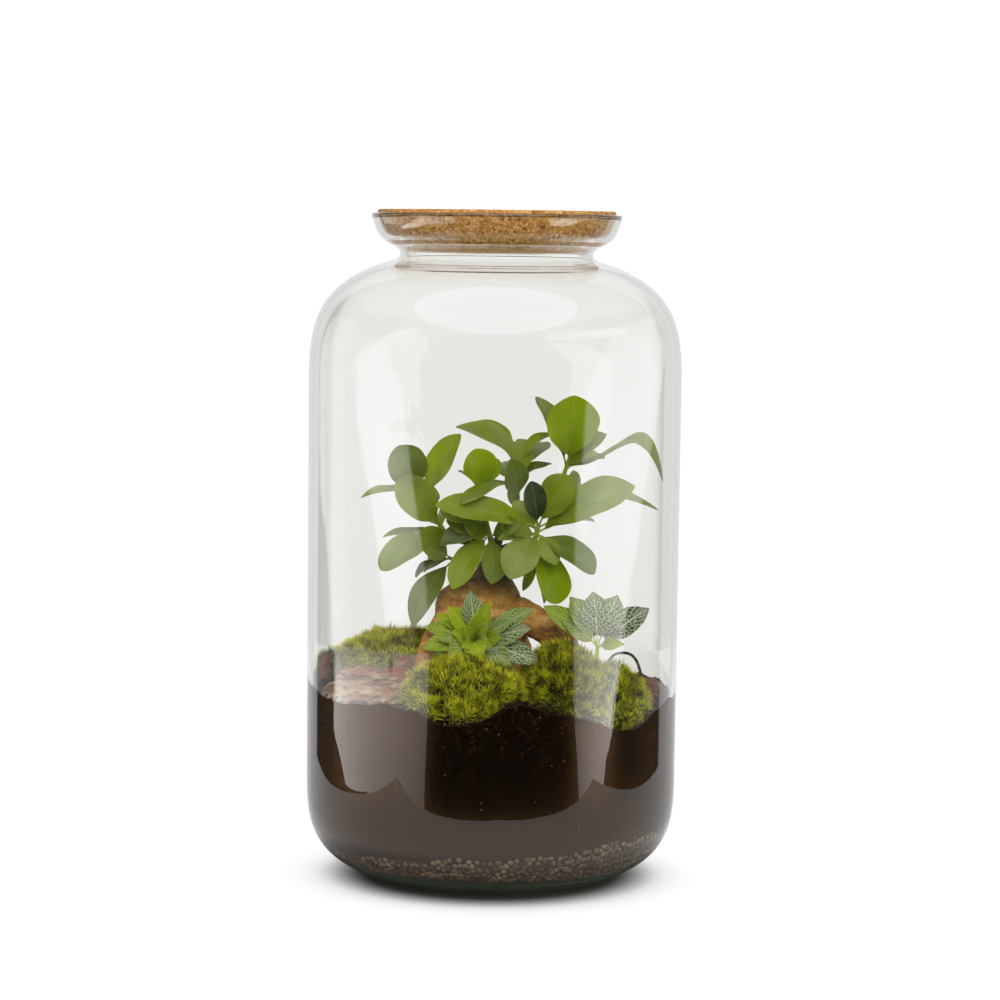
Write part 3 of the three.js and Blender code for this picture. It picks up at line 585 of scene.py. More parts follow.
def leafShader(name, tones, glow, roughness):
    # Colours of a leaf by its tone, as it is lit from the front and as light shines through it
    material, tree, shader = newMaterial(name, Roughness=roughness, IOR=1.45)
    tone = addNode(tree, "Attribute", output="Fac", attribute_name="tone")
    half = addNode(tree, "MapRange", {"Value": tone, "From Min": -1})
    base = addNode(tree, "ValToRGB", {0: half}, stops=tones)
    through = addNode(tree, "ValToRGB", {0: half}, stops=glow)
    return material, tree, shader, half, base, through


def leafLines(tree, count, slant, ribEdge, veinEdge, veinStrength):
    # the midrib and the slanted side veins, 1 on a line, from the leaf's own map
    along, over, _ = addNode(tree, "SeparateXYZ", {0: addNode(tree, "UVMap", uv_map="UVMap")}, None)
    offRib = addNode(tree, "Math", {0: over, 1: 0.5}, operation="SUBTRACT")
    side = addNode(tree, "Math", {0: offRib}, operation="ABSOLUTE")      # 0 on the midrib, 0.5 at the rim
    rib = addNode(tree, "MapRange", {"Value": side, "From Min": ribEdge[0], "From Max": ribEdge[1],
                                     "To Min": 1, "To Max": 0})
    forward = addNode(tree, "Math", {0: along, 1: count}, operation="MULTIPLY")
    back = addNode(tree, "Math", {0: side, 1: slant}, operation="MULTIPLY")
    phase = addNode(tree, "Math", {0: forward, 1: back}, operation="SUBTRACT")
    turns = addNode(tree, "Math", {0: phase}, operation="FRACT")
    centred = addNode(tree, "Math", {0: turns, 1: 0.5}, operation="SUBTRACT")
    wave = addNode(tree, "Math", {0: centred}, operation="ABSOLUTE")
    veins = addNode(tree, "MapRange", {"Value": wave, "From Min": veinEdge[0], "From Max": veinEdge[1],
                                       "To Min": veinStrength, "To Max": 0})
    lines = addNode(tree, "Math", {0: rib, 1: veins}, operation="MAXIMUM")
    return along, over, side, lines


def finishLeaf(tree, shader, base, through, height, depth):
    # a thin leaf: light from behind shows through it in a warmer green
    dress(tree, shader, base, height, 0.5, depth)
    twoSurfaces(tree, 0.42, shader.outputs[0], addNode(tree, "BsdfTranslucent", {"Color": through}))


def figLeafMaterial():
    # Waxy fig leaf: glossy, with a painted pale sheen in patches, more on the darker leaves, faint veins and
    # a paler rim
    material, tree, shader, half, base, through = leafShader(
        "waxy fig leaf", [(0, "#33462a"), (0.5, "#7c8c2e"), (0.78, "#8a9a12"), (1, "#8fa800")],
        [(0, "#55702e"), (0.5, "#b4c61e"), (1, "#d6e600")], 0.3)
    _, _, side, inner = leafLines(tree, 11.0, 9.0, (0.012, 0.03), (0.0, 0.09), 0.35)
    rim = addNode(tree, "MapRange", {"Value": side, "From Min": 0.475, "From Max": 0.497, "To Min": 0,
                                     "To Max": 0.6})
    lines = addNode(tree, "Math", {0: inner, 1: rim}, operation="MAXIMUM")
    place = addNode(tree, "TexCoord", output="Object")
    mottle = addNode(tree, "TexNoise", {"Vector": place, "Scale": 130, "Detail": 4})
    broad = addNode(tree, "TexNoise", {"Vector": place, "Scale": 38, "Detail": 1})
    # painted sheen: pale grey green patches in place of gloss highlights
    paintedSheen = addNode(tree, "MapRange", {"Value": broad, "From Min": 0.4, "From Max": 0.72, "To Max": 0.42})
    sheenOnDarkerLeaves = addNode(tree, "MapRange", {"Value": half, "From Min": 0.95, "From Max": 0.6})
    pale = addNode(tree, "Math", {0: paintedSheen, 1: sheenOnDarkerLeaves}, operation="MULTIPLY")
    withPaintedSheen = addNode(tree, "Mix", {0: pale, 6: base, 7: "#b4bb8c"}, 2, data_type="RGBA")
    toned = addNode(tree, "Mix", {0: 0.25, 6: withPaintedSheen, 7: mottle}, 2, data_type="RGBA", blend_type="OVERLAY")
    lit = addNode(tree, "Mix", {0: 0.2, 6: through, 7: mottle}, 2, data_type="RGBA", blend_type="OVERLAY")
    faint = addNode(tree, "Math", {0: lines, 1: 0.35}, operation="MULTIPLY")
    finishLeaf(tree, shader, addNode(tree, "Mix", {0: faint, 6: toned, 7: "#a9bf62"}, 2, data_type="RGBA"),
               addNode(tree, "Mix", {0: faint, 6: lit, 7: "#d6e58a"}, 2, data_type="RGBA"), lines, 0.0003)
    return material


def nerveLeafMaterial():
    # A nerve plant's leaf: dull, with a net of pale veins that lie a little below its face
    material, tree, shader, half, base, through = leafShader(
        "net-veined leaf", [(0, "#1c3a10"), (0.5, "#567408"), (1, "#98ac04")],
        [(0, "#43702a"), (0.5, "#9abc20"), (1, "#d6e42c")], 0.5)
    along, over, _, inner = leafLines(tree, 7.0, 5.0, (0.015, 0.04), (0.03, 0.11), 1)
    cells = addNode(tree, "CombineXYZ", {0: addNode(tree, "Math", {0: along, 1: 15.0}, operation="MULTIPLY"),
                                         1: addNode(tree, "Math", {0: over, 1: 8.0}, operation="MULTIPLY")})
    net = addNode(tree, "TexVoronoi", {"Vector": cells, "Scale": 1.0}, "Distance",
                  feature="DISTANCE_TO_EDGE", voronoi_dimensions="2D")
    mesh = addNode(tree, "MapRange", {"Value": net, "From Min": 0.05, "From Max": 0.13, "To Min": 0.85,
                                      "To Max": 0})
    lines = addNode(tree, "Math", {0: inner, 1: mesh}, operation="MAXIMUM")
    quarter = addNode(tree, "Math", {0: half, 1: 0.25}, operation="MULTIPLY")
    share = addNode(tree, "Math", {0: 1.0, 1: quarter}, operation="SUBTRACT")
    strong = addNode(tree, "Math", {0: lines, 1: share}, operation="MULTIPLY")
    warm = addNode(tree, "MapRange", {"Value": half, "From Min": 0.35, "From Max": 0.8})
    pale = addNode(tree, "Mix", {0: warm, 6: "#eef2dc", 7: "#d6df58"}, 2, data_type="RGBA")
    finishLeaf(tree, shader, addNode(tree, "Mix", {0: strong, 6: base, 7: pale}, 2, data_type="RGBA"),
               addNode(tree, "Mix", {0: strong, 6: through, 7: pale}, 2, data_type="RGBA"),
               addNode(tree, "Math", {0: 1.0, 1: lines}, operation="SUBTRACT"), 0.0005)
    return material


def mossMaterial():
    # Hair-cap moss: dark stems with bright yellow-green tips; the near black low down is partly painted shade
    # inside the cushion
    material, tree, shader = newMaterial("hair-cap moss", Roughness=0.6)
    tip = addNode(tree, "Attribute", output="Fac", attribute_name="tone")
    patch = addNode(tree, "TexNoise", {"Vector": addNode(tree, "TexCoord", output="Object"), "Scale": 150,
                                       "Detail": 4})
    tones = addNode(tree, "ValToRGB", {0: tip},
                    stops=[(0, "#030400"), (0.28, "#252b03"), (0.58, "#a3a504"), (1, "#fffa56")])
    strong = addNode(tree, "MapRange", {"Value": patch, "From Min": 0.36, "From Max": 0.62, "To Min": 0.03,
                                        "To Max": 0.97})
    base = addNode(tree, "Mix", {0: 0.8, 6: tones, 7: strong}, 2, data_type="RGBA", blend_type="OVERLAY")
    tree.links.new(base, shader.inputs["Base Color"])
    twoSurfaces(tree, 0.3, shader.outputs[0], addNode(tree, "BsdfTranslucent", {"Color": base}))
    return material


def looseBarkMaterial():
    # Weathered pine bark: pinkish beige plates, red-brown broken edges
    material, tree, shader = newMaterial("weathered bark", Roughness=0.85)
    place = addNode(tree, "TexCoord", output="Object")
    flat = addNode(tree, "Mapping", {"Vector": place, "Scale": (1, 1, 3)})
    layers = addNode(tree, "TexNoise", {"Vector": flat, "Scale": 75, "Detail": 6, "Roughness": 0.65})
    tones = addNode(tree, "ValToRGB", {0: layers},
                    stops=[(0.3, "#2a1b13"), (0.42, "#735039"), (0.54, "#9c7f64"), (0.7, "#c4ad8e")])
    stain = addNode(tree, "TexNoise", {"Vector": place, "Scale": 60, "Detail": 3})
    tone = addNode(tree, "Attribute", output="Fac", attribute_name="tone")
    more = addNode(tree, "Math", {0: tone, 1: 0.3}, operation="MULTIPLY")
    rusty = addNode(tree, "MapRange", {"Value": addNode(tree, "Math", {0: stain, 1: more}, operation="ADD"),
                                       "From Min": 0.52, "From Max": 0.64, "To Max": 0.8})
    stained = addNode(tree, "Mix", {0: rusty, 6: tones, 7: "#8a4428"}, 2, data_type="RGBA")
    darker = addNode(tree, "Math", {0: tone, 1: 0.75}, operation="MULTIPLY")
    deep = addNode(tree, "Mix", {0: darker, 6: stained, 7: "#4a2413"}, 2, data_type="RGBA")
    fine = addNode(tree, "TexNoise", {"Vector": flat, "Scale": 700, "Detail": 5})
    colour = addNode(tree, "Mix", {0: 0.5, 6: deep, 7: fine}, 2, data_type="RGBA", blend_type="OVERLAY")
    shallow = addNode(tree, "Math", {0: fine, 1: 0.4}, operation="MULTIPLY")
    relief = addNode(tree, "Math", {0: layers, 1: shallow}, operation="ADD")
    dress(tree, shader, colour, relief, 0.8, 0.001)
    return material


def dryStemMaterial():
    # A dead stem and dry rootlets: dull dark brown with pale flecks
    material, tree, shader = newMaterial("dry stem", Roughness=0.8)
    place = addNode(tree, "TexCoord", output="Object")
    flecks = addNode(tree, "TexNoise", {"Vector": place, "Scale": 500, "Detail": 3})
    tones = addNode(tree, "ValToRGB", {0: flecks},
                    stops=[(0.35, "#1c1613"), (0.6, "#40332a"), (0.75, "#776352")])
    tree.links.new(tones, shader.inputs["Base Color"])
    return material


glass, cork, clay, soil = glassMaterial(), corkMaterial(), clayMaterial(), soilMaterial()
figBark, figLeaf, nerveLeaf = figBarkMaterial(), figLeafMaterial(), nerveLeafMaterial()
moss, looseBark, dryStem = mossMaterial(), looseBarkMaterial(), dryStemMaterial()
print("materials are made")


# Glass jar and cork lid

jar = {
    "wall": 3.5,
    "steps": 144,
    "floorZ": 8,
    "outer": [[68, 0], [74, 0.7], [80, 2.4], [90, 6.4], [98.5, 11.6], [105, 17.6], [109.8, 25], [113, 34.4],
              [114.6, 46], [115, 60], [115, 80], [115, 130], [115, 180], [115, 240], [115, 296], [115, 312],
              [114.4, 324], [112.4, 336.5], [108.6, 347.6], [103, 356.8], [95.5, 364.4], [86, 370.8],
              [75.5, 375.8], [66.5, 378.8], [61, 380.8], [59.4, 383.5], [60.4, 386.2], [63.6, 388.4],
              [68, 390.8], [72, 394.2], [74.8, 399.6], [77, 406.8]],
    "widest": 115,
    "lipCentre": (75.35, 406.9),
    "lipRadius": (1.62, 1.5),
    "lipDegrees": range(12, 175, 18),
    "foot": [[0, 4], [24, 3.7], [42, 2.8], [52, 1.4], [58, 0.5], [61.5, 0]],
}


def offsetWall(points, distance):
    moved = []
    for i, (r, z) in enumerate(points):
        (r0, z0), (r1, z1) = points[max(i - 1, 0)], points[min(i + 1, len(points) - 1)]
        length = math.hypot(r1 - r0, z1 - z0)
        moved.append([r - (z1 - z0) / length * distance, z + (r1 - r0) / length * distance])
    return moved


def innerRadius(z):
    return between(innerTable, z)


outerWall = [[min(r, jar["widest"]), z] for r, z in curved(jar["outer"], 3)]
floorZ = jar["floorZ"]
innerWall = [point for point in offsetWall(outerWall, jar["wall"]) if point[1] > floorZ + 2]
innerTable = [(z, r) for r, z in innerWall]
footR, footZ = innerWall[0]
innerFloor = curved([[footR, footZ], [footR - 7, floorZ + 0.9], [footR - 20, floorZ + 0.2],
                     [0, floorZ]], 4)[1:]
lip = []
for turn in map(math.radians, jar["lipDegrees"]):
    lip.append([jar["lipCentre"][0] + jar["lipRadius"][0] * math.cos(turn),
                jar["lipCentre"][1] + jar["lipRadius"][1] * math.sin(turn)])
jarGlass = spinProfile(jar["foot"] + outerWall + lip + innerWall[::-1] + innerFloor, jar["steps"])
finishPiece(jarGlass, "jar_glass", glass, "jar")

lid = {"top": 410.7, "bottom": 391.8, "clearance": 0.35, "steps": 160, "edgeZ": 408.2,
       "seat": (394.4, 396.5, 398.6, 400.8, 403, 405, 407)}
seat = [[innerRadius(z) - lid["clearance"], z] for z in lid["seat"]]
low, edge = seat[0][0], seat[-1][0]
lidProfile = [[0, lid["bottom"]], [30, lid["bottom"]], [low - 3.4, lid["bottom"]],
              [low - 1.6, lid["bottom"] + 0.5], *seat, [edge + 0.2, lid["edgeZ"]],
              [edge + 0.2, lid["top"] - 1.2], [edge - 0.4, lid["top"] - 0.4], [edge - 1.4, lid["top"]],
              *[[r, lid["top"]] for r in (66, 58, 50, 40, 30, 20, 10, 0)]]
corkLid = spinProfile(lidProfile, lid["steps"])
finishPiece(corkLid, "cork_stopper", cork, "cork_lid")
print("glass jar and cork lid are made")


# Drainage pellets

# Each pellet is pressed into the glass by a hair, so that it shows as a pale patch among dark compost.
# Their upper line tilts more than the solid core's own top.
bed = {"z": 29, "slope": 0.04, "pellet": 4.6, "count": 800, "pressed": 1.15, "seed": 3, "spacing": 2.9,
       "lowest": 16.5, "highest": 42, "innermost": 66, "tilt": 190, "uneven": 4, "sides": 144}


def bedTop(x):
    return bed["z"] + bed["slope"] * x


def scatterCopies(template, places, name):
    # a copy of the template at each place, joined into one mesh
    copies = []
    for matrix in places:
        copies.append(addObject(name, template.data if copies else template.data.copy()))
        copies[-1].matrix_world = matrix
    joined = joinPieces(copies)
    bakePlace()
    return joined


def turned(rng):
    return (Matrix.Rotation(rng.uniform(0, 2 * math.pi), 4, "Z")
            @ Matrix.Rotation(rng.uniform(-math.pi, math.pi), 4, "X"))


def smallBall(subdivisions):
    selectOnly()
    bpy.ops.mesh.primitive_ico_sphere_add(subdivisions=subdivisions, radius=0.5 * mm)
    return bpy.context.object


rng = random.Random(bed["seed"])
pellet = smallBall(2)
roughen(pellet, 0.09, 0.8, seed=2)
bpy.ops.object.shade_smooth()
paintValue(pellet, "tone", 1.0)
bedWall = [point for point in innerFloor[::-1] if point[0] > bed["innermost"]]
bedWall += [point for point in innerWall if point[1] < bed["highest"]]
places = []
spots = []
while len(places) < bed["count"]:
    angle = rng.uniform(0, 2 * math.pi)
    wander = noise.noise(Vector((math.cos(angle) * 3, math.sin(angle) * 3, 4)))
    ceiling = bedTop(bed["tilt"] * math.cos(angle)) + bed["uneven"] * wander
    step = rng.randrange(len(bedWall) - 1)
    (r0, z0), (r1, z1) = bedWall[step:step + 2]
    share = rng.random()
    r, z = r0 + (r1 - r0) * share, z0 + (z1 - z0) * share
    if not bed["lowest"] < z < ceiling or rng.random() > math.hypot(r1 - r0, z1 - z0) / 8:
        continue
    outwards = Vector((z1 - z0, r0 - r1)).normalized()
    size = bed["pellet"] * rng.uniform(0.75, 1.2)
    sunk = size / 2 - bed["pressed"]
    reach = r - outwards.x * sunk
    spot = Vector((reach * math.cos(angle), reach * math.sin(angle), z - outwards.y * sunk))
    if any((spot - other).length < bed["spacing"] for other in spots):
        continue
    spots.append(spot)
    places.append(Matrix.Translation(spot * mm) @ turned(rng)
                  @ Matrix.Diagonal((size * rng.uniform(0.85, 1.1), size, size * rng.uniform(0.85, 1), 1)))
pellets = scatterCopies(pellet, places, "pellets")
bpy.data.objects.remove(pellet)


def corePoint(angle, share):
    # moist grit clings to the glass from the jar's floor up to the bed's tilted top
    x = 104 * math.cos(angle)
    z = footZ + (bedTop(x) - 0.5 - footZ) * share
    reach = innerRadius(z) + 0.1
    return (reach * math.cos(angle), reach * math.sin(angle), z)


coreRings = [circlePoints(bed["sides"], lambda a: (r * math.cos(a), r * math.sin(a), z - 0.1))
             for r, z in innerFloor[::-1] if 0 < r < footR]
for share in (0, 0.15, 0.3, 0.5, 0.7, 0.85, 1):
    coreRings.append(circlePoints(bed["sides"], lambda a: corePoint(a, share)))
coreRings.append([(x * 0.93, y * 0.93, z + 0.2) for x, y, z in coreRings[-1]])
core = loftRings(coreRings)
paintValue(core, "tone", 0.0)
finishPiece(joinPieces([pellets, core]), "clay_pellets", clay, "drainage_pellets")
print("drainage pellets are made")


# Soil

# lip and lipFrom say how far the top is drawn up near the glass, and edge is where the wall meets it
ground = {"z": 114, "clearance": 0.4, "cling": 0.12, "lip": 2.2, "lipFrom": 103, "lipWidth": 7, "edge": 110.8,
          "segments": 180, "wallRings": 26, "topRings": 46, "crumbs": 1700, "crumbReach": 109.6,
          "edgeCrumbs": (105, 110), "crumbSizes": [1.2, 1.6, 2.2, 3.2], "seed": 8}


def bump(x, y, atX, atY, spread):
    return math.exp(-((x - atX) ** 2 + (y - atY) ** 2) / spread ** 2)


def soilTop(x, y):
    mound = 13 * bump(x, y, -4, 4, 52) + 9 * bump(x, y, -112, 0, 34) + 10 * bump(x, y, 15, -100, 17)
    mound += 3.5 * bump(x, y, -62, -94, 24)
    dips = -13.5 * bump(x, y, 78, -74, 28) - 6 * bump(x, y, -18, -106, 22)
    return ground["z"] + mound + dips + 1.1 * math.sin(0.21 * x + 1.3) * math.sin(0.19 * y - 0.4)


def topHeight(x, y):
    # grainy, and drawn up a little where it clings to the glass
    at = Vector((x, y, 0))
    grain = 0.9 * noise.noise(at * 0.23) + 0.5 * noise.noise(at * 0.6)
    edge = min(1, max(0, (math.hypot(x, y) - ground["lipFrom"]) / ground["lipWidth"]))
    return soilTop(x, y) + grain + ground["lip"] * edge * edge - 0.6


def wallPoint(angle, z, inset=0.0):
    # moist compost clings to the glass, so its side lies in the inner face with no air between
    reach = innerRadius(z) + ground["cling"] - inset
    return (reach * math.cos(angle), reach * math.sin(angle), z)


def wallHeight(angle, share):
    # from just above the drainage layer to just under the top's edge
    x, y = math.cos(angle), math.sin(angle)
    low = bedTop(100 * x) - 2
    high = topHeight(ground["edge"] * x, ground["edge"] * y) - 0.3
    return low + share * (high - low)


def topPoint(angle, share):
    reach = share * (innerRadius(ground["z"]) - ground["clearance"])
    x, y = reach * math.cos(angle), reach * math.sin(angle)
    return (x, y, topHeight(x, y))


sides, wallRings, topRings = ground["segments"], ground["wallRings"], ground["topRings"]
rings = [circlePoints(sides, lambda a: wallPoint(a, wallHeight(a, 0) - 0.5, 3))]
for k in range(wallRings + 1):
    rings.append(circlePoints(sides, lambda a: wallPoint(a, wallHeight(a, k / wallRings))))
for share in [0.998] + [1 - k / topRings for k in range(1, topRings)]:
    rings.append(circlePoints(sides, lambda a: topPoint(a, share)))
soilBed = loftRings(rings)
bpy.ops.object.shade_smooth_by_angle(angle=math.radians(40))
paintValue(soilBed, "wet", [1.0 if math.hypot(v.co.x, v.co.y) > innerRadius(v.co.z / mm) * mm - 1e-4 else 0.0
                            for v in soilBed.data.vertices])

rng = random.Random(ground["seed"])
crumb = smallBall(1)
roughen(crumb, 0.18, 0.7, seed=5)
places = []
while len(places) < ground["crumbs"]:
    # half of them along the glass, the rest all over
    angle, reach = rng.uniform(0, 2 * math.pi), ground["crumbReach"] * math.sqrt(rng.random())
    if len(places) % 2:
        reach = rng.uniform(*ground["edgeCrumbs"])
    x, y = reach * math.cos(angle), reach * math.sin(angle)
    size = rng.choice(ground["crumbSizes"]) * rng.uniform(0.7, 1.2)
    places.append(Matrix.Translation(Vector((x, y, topHeight(x, y) + size * 0.15)) * mm) @ turned(rng)
                  @ Matrix.Diagonal((size * rng.uniform(0.8, 1.7), size, size * rng.uniform(0.6, 1), 1)))
crumbs = scatterCopies(crumb, places, "crumbs")
bpy.data.objects.remove(crumb)
keepInside(crumbs, 0.1)
finishPiece(joinPieces([soilBed, crumbs]), "peat_soil", soil, "soil")
print("soil is made")


# Fig trunk

trunk = {
    "rings": [[-6, 2, 119, 30, 24], [-7, 1, 130, 31, 26], [-8, 1, 142, 31, 25], [-8, 1, 152, 30.5, 24],
              [-8.5, 1, 162, 29.5, 22.5], [-9, 1, 170, 27.5, 20.5], [-8, 1, 176.5, 24, 17],
              [-5, 0, 180.5, 18.5, 14], [-2, 0, 184.5, 13.5, 11], [-0.5, 0, 188.5, 10, 8.6],
              [0, 0, 194, 7, 6.4], [0, 0, 199.5, 5.2, 5]],
    "roots": [
        [[14, -4, 165, 9], [27, -9, 157, 10], [40, -15, 149, 9], [48, -20, 137, 8], [52, -24, 116, 6]],
        [[-26, -8, 160, 9], [-34, -17, 146, 9], [-40, -25, 131, 7.5], [-44, -30, 113, 5.5]],
        [[-4, -12, 158, 10], [-2, -20, 146, 10], [1, -27, 132, 9], [3, -32, 114, 6.5]],
        [[2, 12, 162, 9], [10, 24, 148, 9.5], [17, 34, 134, 8], [21, 40, 115, 6]],
        [[-22, 10, 158, 9], [-32, 21, 143, 8.5], [-38, 29, 129, 7], [-41, 33, 114, 5]],
    ],
    "twigs": [
        [[0, 0, 196, 3.4], [9, -3, 203.5, 2.6], [20, -8, 205, 2.2], [25.6, -9.6, 209, 2]],
        [[0, 0, 197, 3.6], [-0.6, -5, 204, 2.6], [-2, -12, 210, 2]],
        [[0, 0, 196, 3.4], [-12, 3, 203.5, 2.6], [-26.6, 4.8, 207.6, 2]],
        [[0, 0, 191, 3.2], [-9, 5, 191.5, 2.4], [-20, 9, 192.4, 1.9]],
        [[0, 0, 196, 3.8], [4, 4, 209, 3], [13.4, 9.4, 222.4, 2.1]],
        [[3, 3.4, 207, 2.6], [20, 10, 220, 2.4], [34.4, 13.6, 232.4, 2]],
    ],
    "voxel": 0.95,
    "twigsFrom": 201,
    "twigRelief": 0.35,
}


def trunkRing(x, y, z, halfWidth, halfDepth):
    low = min(1, max(0, (186 - z) / 40))

    def pointAt(angle):
        lobes = 1 - low * (0.05 * (1 - math.cos(3 * angle + 0.7)) + 0.035 * (1 - math.cos(5 * angle - 1.1)))
        return (x + halfWidth * lobes * math.cos(angle), y + halfDepth * lobes * math.sin(angle), z)
    return circlePoints(48, pointAt)


def relief(point):
    # little relief on the thin twigs
    return trunk["twigRelief"] if point.z > trunk["twigsFrom"] else 1.0


body = loftRings([trunkRing(*row) for row in curved(trunk["rings"], 3)])
limbs = [tube(curved(route, 4), 18) for route in trunk["roots"]]
limbs += [tube(curved(route, 4), 12) for route in trunk["twigs"]]
trunkSkin = joinPieces([body] + limbs)
applyModifier(trunkSkin, "REMESH", mode="VOXEL", voxel_size=trunk["voxel"] * mm)
applyModifier(trunkSkin, "SMOOTH", factor=0.5, iterations=5)
roughen(trunkSkin, 0.7, 9, seed=4, limit=relief)
roughen(trunkSkin, 0.3, 2.6, stretch=(0.6, 0.6, 2.4), seed=9, ridged=True, limit=relief)
bpy.ops.object.shade_smooth()
finishPiece(trunkSkin, "fig_trunk_bark", figBark, "fig_trunk")
print("fig trunk is made")


# Leaves

# Each leaf: base x, y, z, tip x, y, z, width, turn, arch, tone, the place of its highest point and how
# blunt its tip is. Tone runs from -1, dark blue green, to 1, bright yellow green.
figShoots = {
    "right": {
        "stem": [[25.7, -9.8, 209.6, 1.8], [27, -10, 214, 1.6], [28, -10.4, 219, 1.2]],
        "leaves": [
            [27, -10, 216, 86, -20, 243.5, 27, 35, 3, 0.1],
            [27, -9, 213, 63, 13, 218, 22, 70, 4, 0.8],
            [27, -10.5, 218, 22.5, -28, 246.5, 15, 15, 2, -1, 0.5, 0.7],
            [28, -10, 218, 47, -18, 249, 23, 20, 3, 0.25, 0.5, 0.8],
            [26, -11, 212, 10.5, -43, 188.5, 23, 15, 5, 0.1, 0.5, 0.9],
            [27, -10, 212, 62, -24, 189.5, 22, 45, 4, -0.3, 0.5, 0.6],
            [26, -10, 210.5, 40.5, -16, 170, 22, 22, 3, 1, 0.5, 1],
            [26, -9.5, 210.5, 32, -2, 168, 13, 60, 2, 0.9],
            [26, -10.5, 210.5, 18.6, -19, 178, 9, 35, 2, 0],
            [27, -11, 212, 38.5, -27, 195, 14, 20, 2, 0.4],
            [27, -10.6, 216.5, -35, -38, 232, 22, 44, 4, 0.4],
            [26, -11, 213, 3, -30, 211, 9, 40, 1, -0.2],
            [27, -10.5, 211, 5, -24, 217, 12, 35, 2, 0.2],
            [27, -10.5, 213, 12, -6, 232, 14, 30, 2, 0.4],
        ],
    },
    "middle": {
        "stem": [[-2.1, -12.5, 210.7, 1.8], [-4, -13, 218, 1.5], [-6, -9, 229, 1.3], [-8, -5, 240, 1]],
        "leaves": [
            [-2.4, -13, 212, -24, -36, 180.5, 20, 35, 3, 0.5],
            [-2.6, -13, 213, -32, -23, 206, 18, 55, 3, -0.6],
            [-2.2, -13, 212, -0.5, -27, 183, 18, 25, 3, 0],
            [-3.4, -13, 216, -31.6, -20, 224.5, 17, 50, 3, 0.3],
            [-2.6, -13, 213, -14, -20, 207.5, 6, 30, 1, 0.7],
            [-2.4, -12, 211, -29, -17, 221, 15, 30, 2, 0.5],
            [-2.4, -12, 211, -18, -23, 219, 14, 20, 2, 0.3],
            [-2, -12.5, 210, 17, -26, 221, 13, 30, 2, -0.1],
            [-6, -9, 229, -33.5, -14, 226, 12, 45, 2, 0.2],
            [-7.4, -6, 237, -22.3, 3, 249.5, 13, 78, 2, 0.2],
            [-8.4, -5, 239.6, -11, -14, 265, 22, 15, 3, 0.8, 0.5, 0.9],
            [-7.6, -5, 238, 2, 3, 257.5, 15, 30, 1, 0.9],
        ],
    },
    "left": {
        "stem": [[-27.2, 4.9, 207.9, 1.8], [-31, 5.4, 212, 1.6], [-39, 6, 224, 1.4], [-47, 4, 237, 1]],
        "leaves": [
            [-43, 5, 231, -21, 2, 272.5, 22, 42, 3, 0.6],
            [-47, 4, 236, -59, -19, 266.5, 25, 8, 3, -0.2, 0.5, 1],
            [-46.6, 4, 236, -83, 9, 231.5, 17, 76, 3, 0.2],
            [-33, 5, 215, -60, -17, 245, 25, 22, 3, 0.3, 0.5, 0.7],
            [-30.4, 5, 211.4, -69, -16, 189.5, 22, 40, 4, 0, 0.5, 1],
            [-30.6, 5, 211, -69, 4, 207.5, 14, 76, 2, 0.1],
            [-37, 7, 221, -52, 42, 236, 20, 50, 4, 0.5],
            [-30.6, 6, 212, -40, 46, 214, 20, 40, 5, 0.5],
        ],
    },
    "low_left": {
        "stem": [[-20.6, 9.2, 192.4, 1.6], [-24, 10.2, 193, 1.4], [-28, 11, 194.6, 1]],
        "leaves": [
            [-27, 10.8, 194.4, -47, -12, 211, 21, 28, 2, 0.4, 0.5, 0.7],
            [-27, 10.6, 194.2, -48, 0, 183, 16, 78, 2, -0.3],
            [-25, 10.4, 193, -49, -13, 154.5, 19, 34, 6, -0.3],
            [-26, 11, 194, -42, 40, 186, 18, 40, 3, 0.4],
        ],
    },
    "top": {
        "stem": [[13.7, 9.6, 222.9, 1.9], [14.6, 10, 232, 1.7], [14, 10, 246, 1.4], [13, 9.6, 260, 1.5],
                 [12.6, 9.4, 268, 0.4]],
        "leaves": [
            [14.4, 9.6, 232, 10, -9, 258.5, 17, 25, 2, -0.2],
            [14, 9.4, 243, -19, -36, 233, 16, 62, 3, 0.1],
            [14, 10, 246, 22, 14, 262, 15, 30, 3, 0.3],
            [14.2, 10, 244, 36, 17, 253.5, 12, 68, 2, -0.4],
            [14.6, 9.6, 227, 9, -1, 239, 8, 20, 1, -0.4],
            [13.6, 10, 252, 36.5, 21, 272.5, 16, 66, 3, 0.7],
            [14, 9.8, 240, -24, 2, 277, 21, 58, 15, 0.2],
            [14.6, 10.4, 238, 2, 52, 250, 22, 35, 5, 0.4],
            [14.4, 10.4, 246, 30, 54, 264, 22, 30, 5, 0.4],
            [13.4, 10, 256, -12, 38, 278, 18, 40, 4, 0.4],
        ],
    },
    "top_right": {
        "stem": [[34.9, 13.8, 233, 1.8], [40, 15, 239, 1.6], [44, 14.6, 248, 1.4], [46, 13, 256, 1]],
        "leaves": [
            [45.8, 13, 255, 48.5, -9, 298, 33, 8, 4, 0.9, 0.5, 1],
            [45, 14, 252, 25.5, 24, 295, 20, 50, 4, -0.2],
            [44.4, 14.4, 250, 69.5, 4, 273.5, 17, 48, 3, 0.1],
            [45.4, 13.4, 254, 104, -8, 246, 20, 70, 22, 0, 0.72],
            [38.4, 14.8, 237, 103, 10, 226, 20, 78, 4, 0.1],
            [44, 15, 249, 66, 50, 258, 22, 35, 5, 0.5],
            [40, 15.4, 240, 56, 54, 232, 21, 40, 5, 0.5],
        ],
    },
}

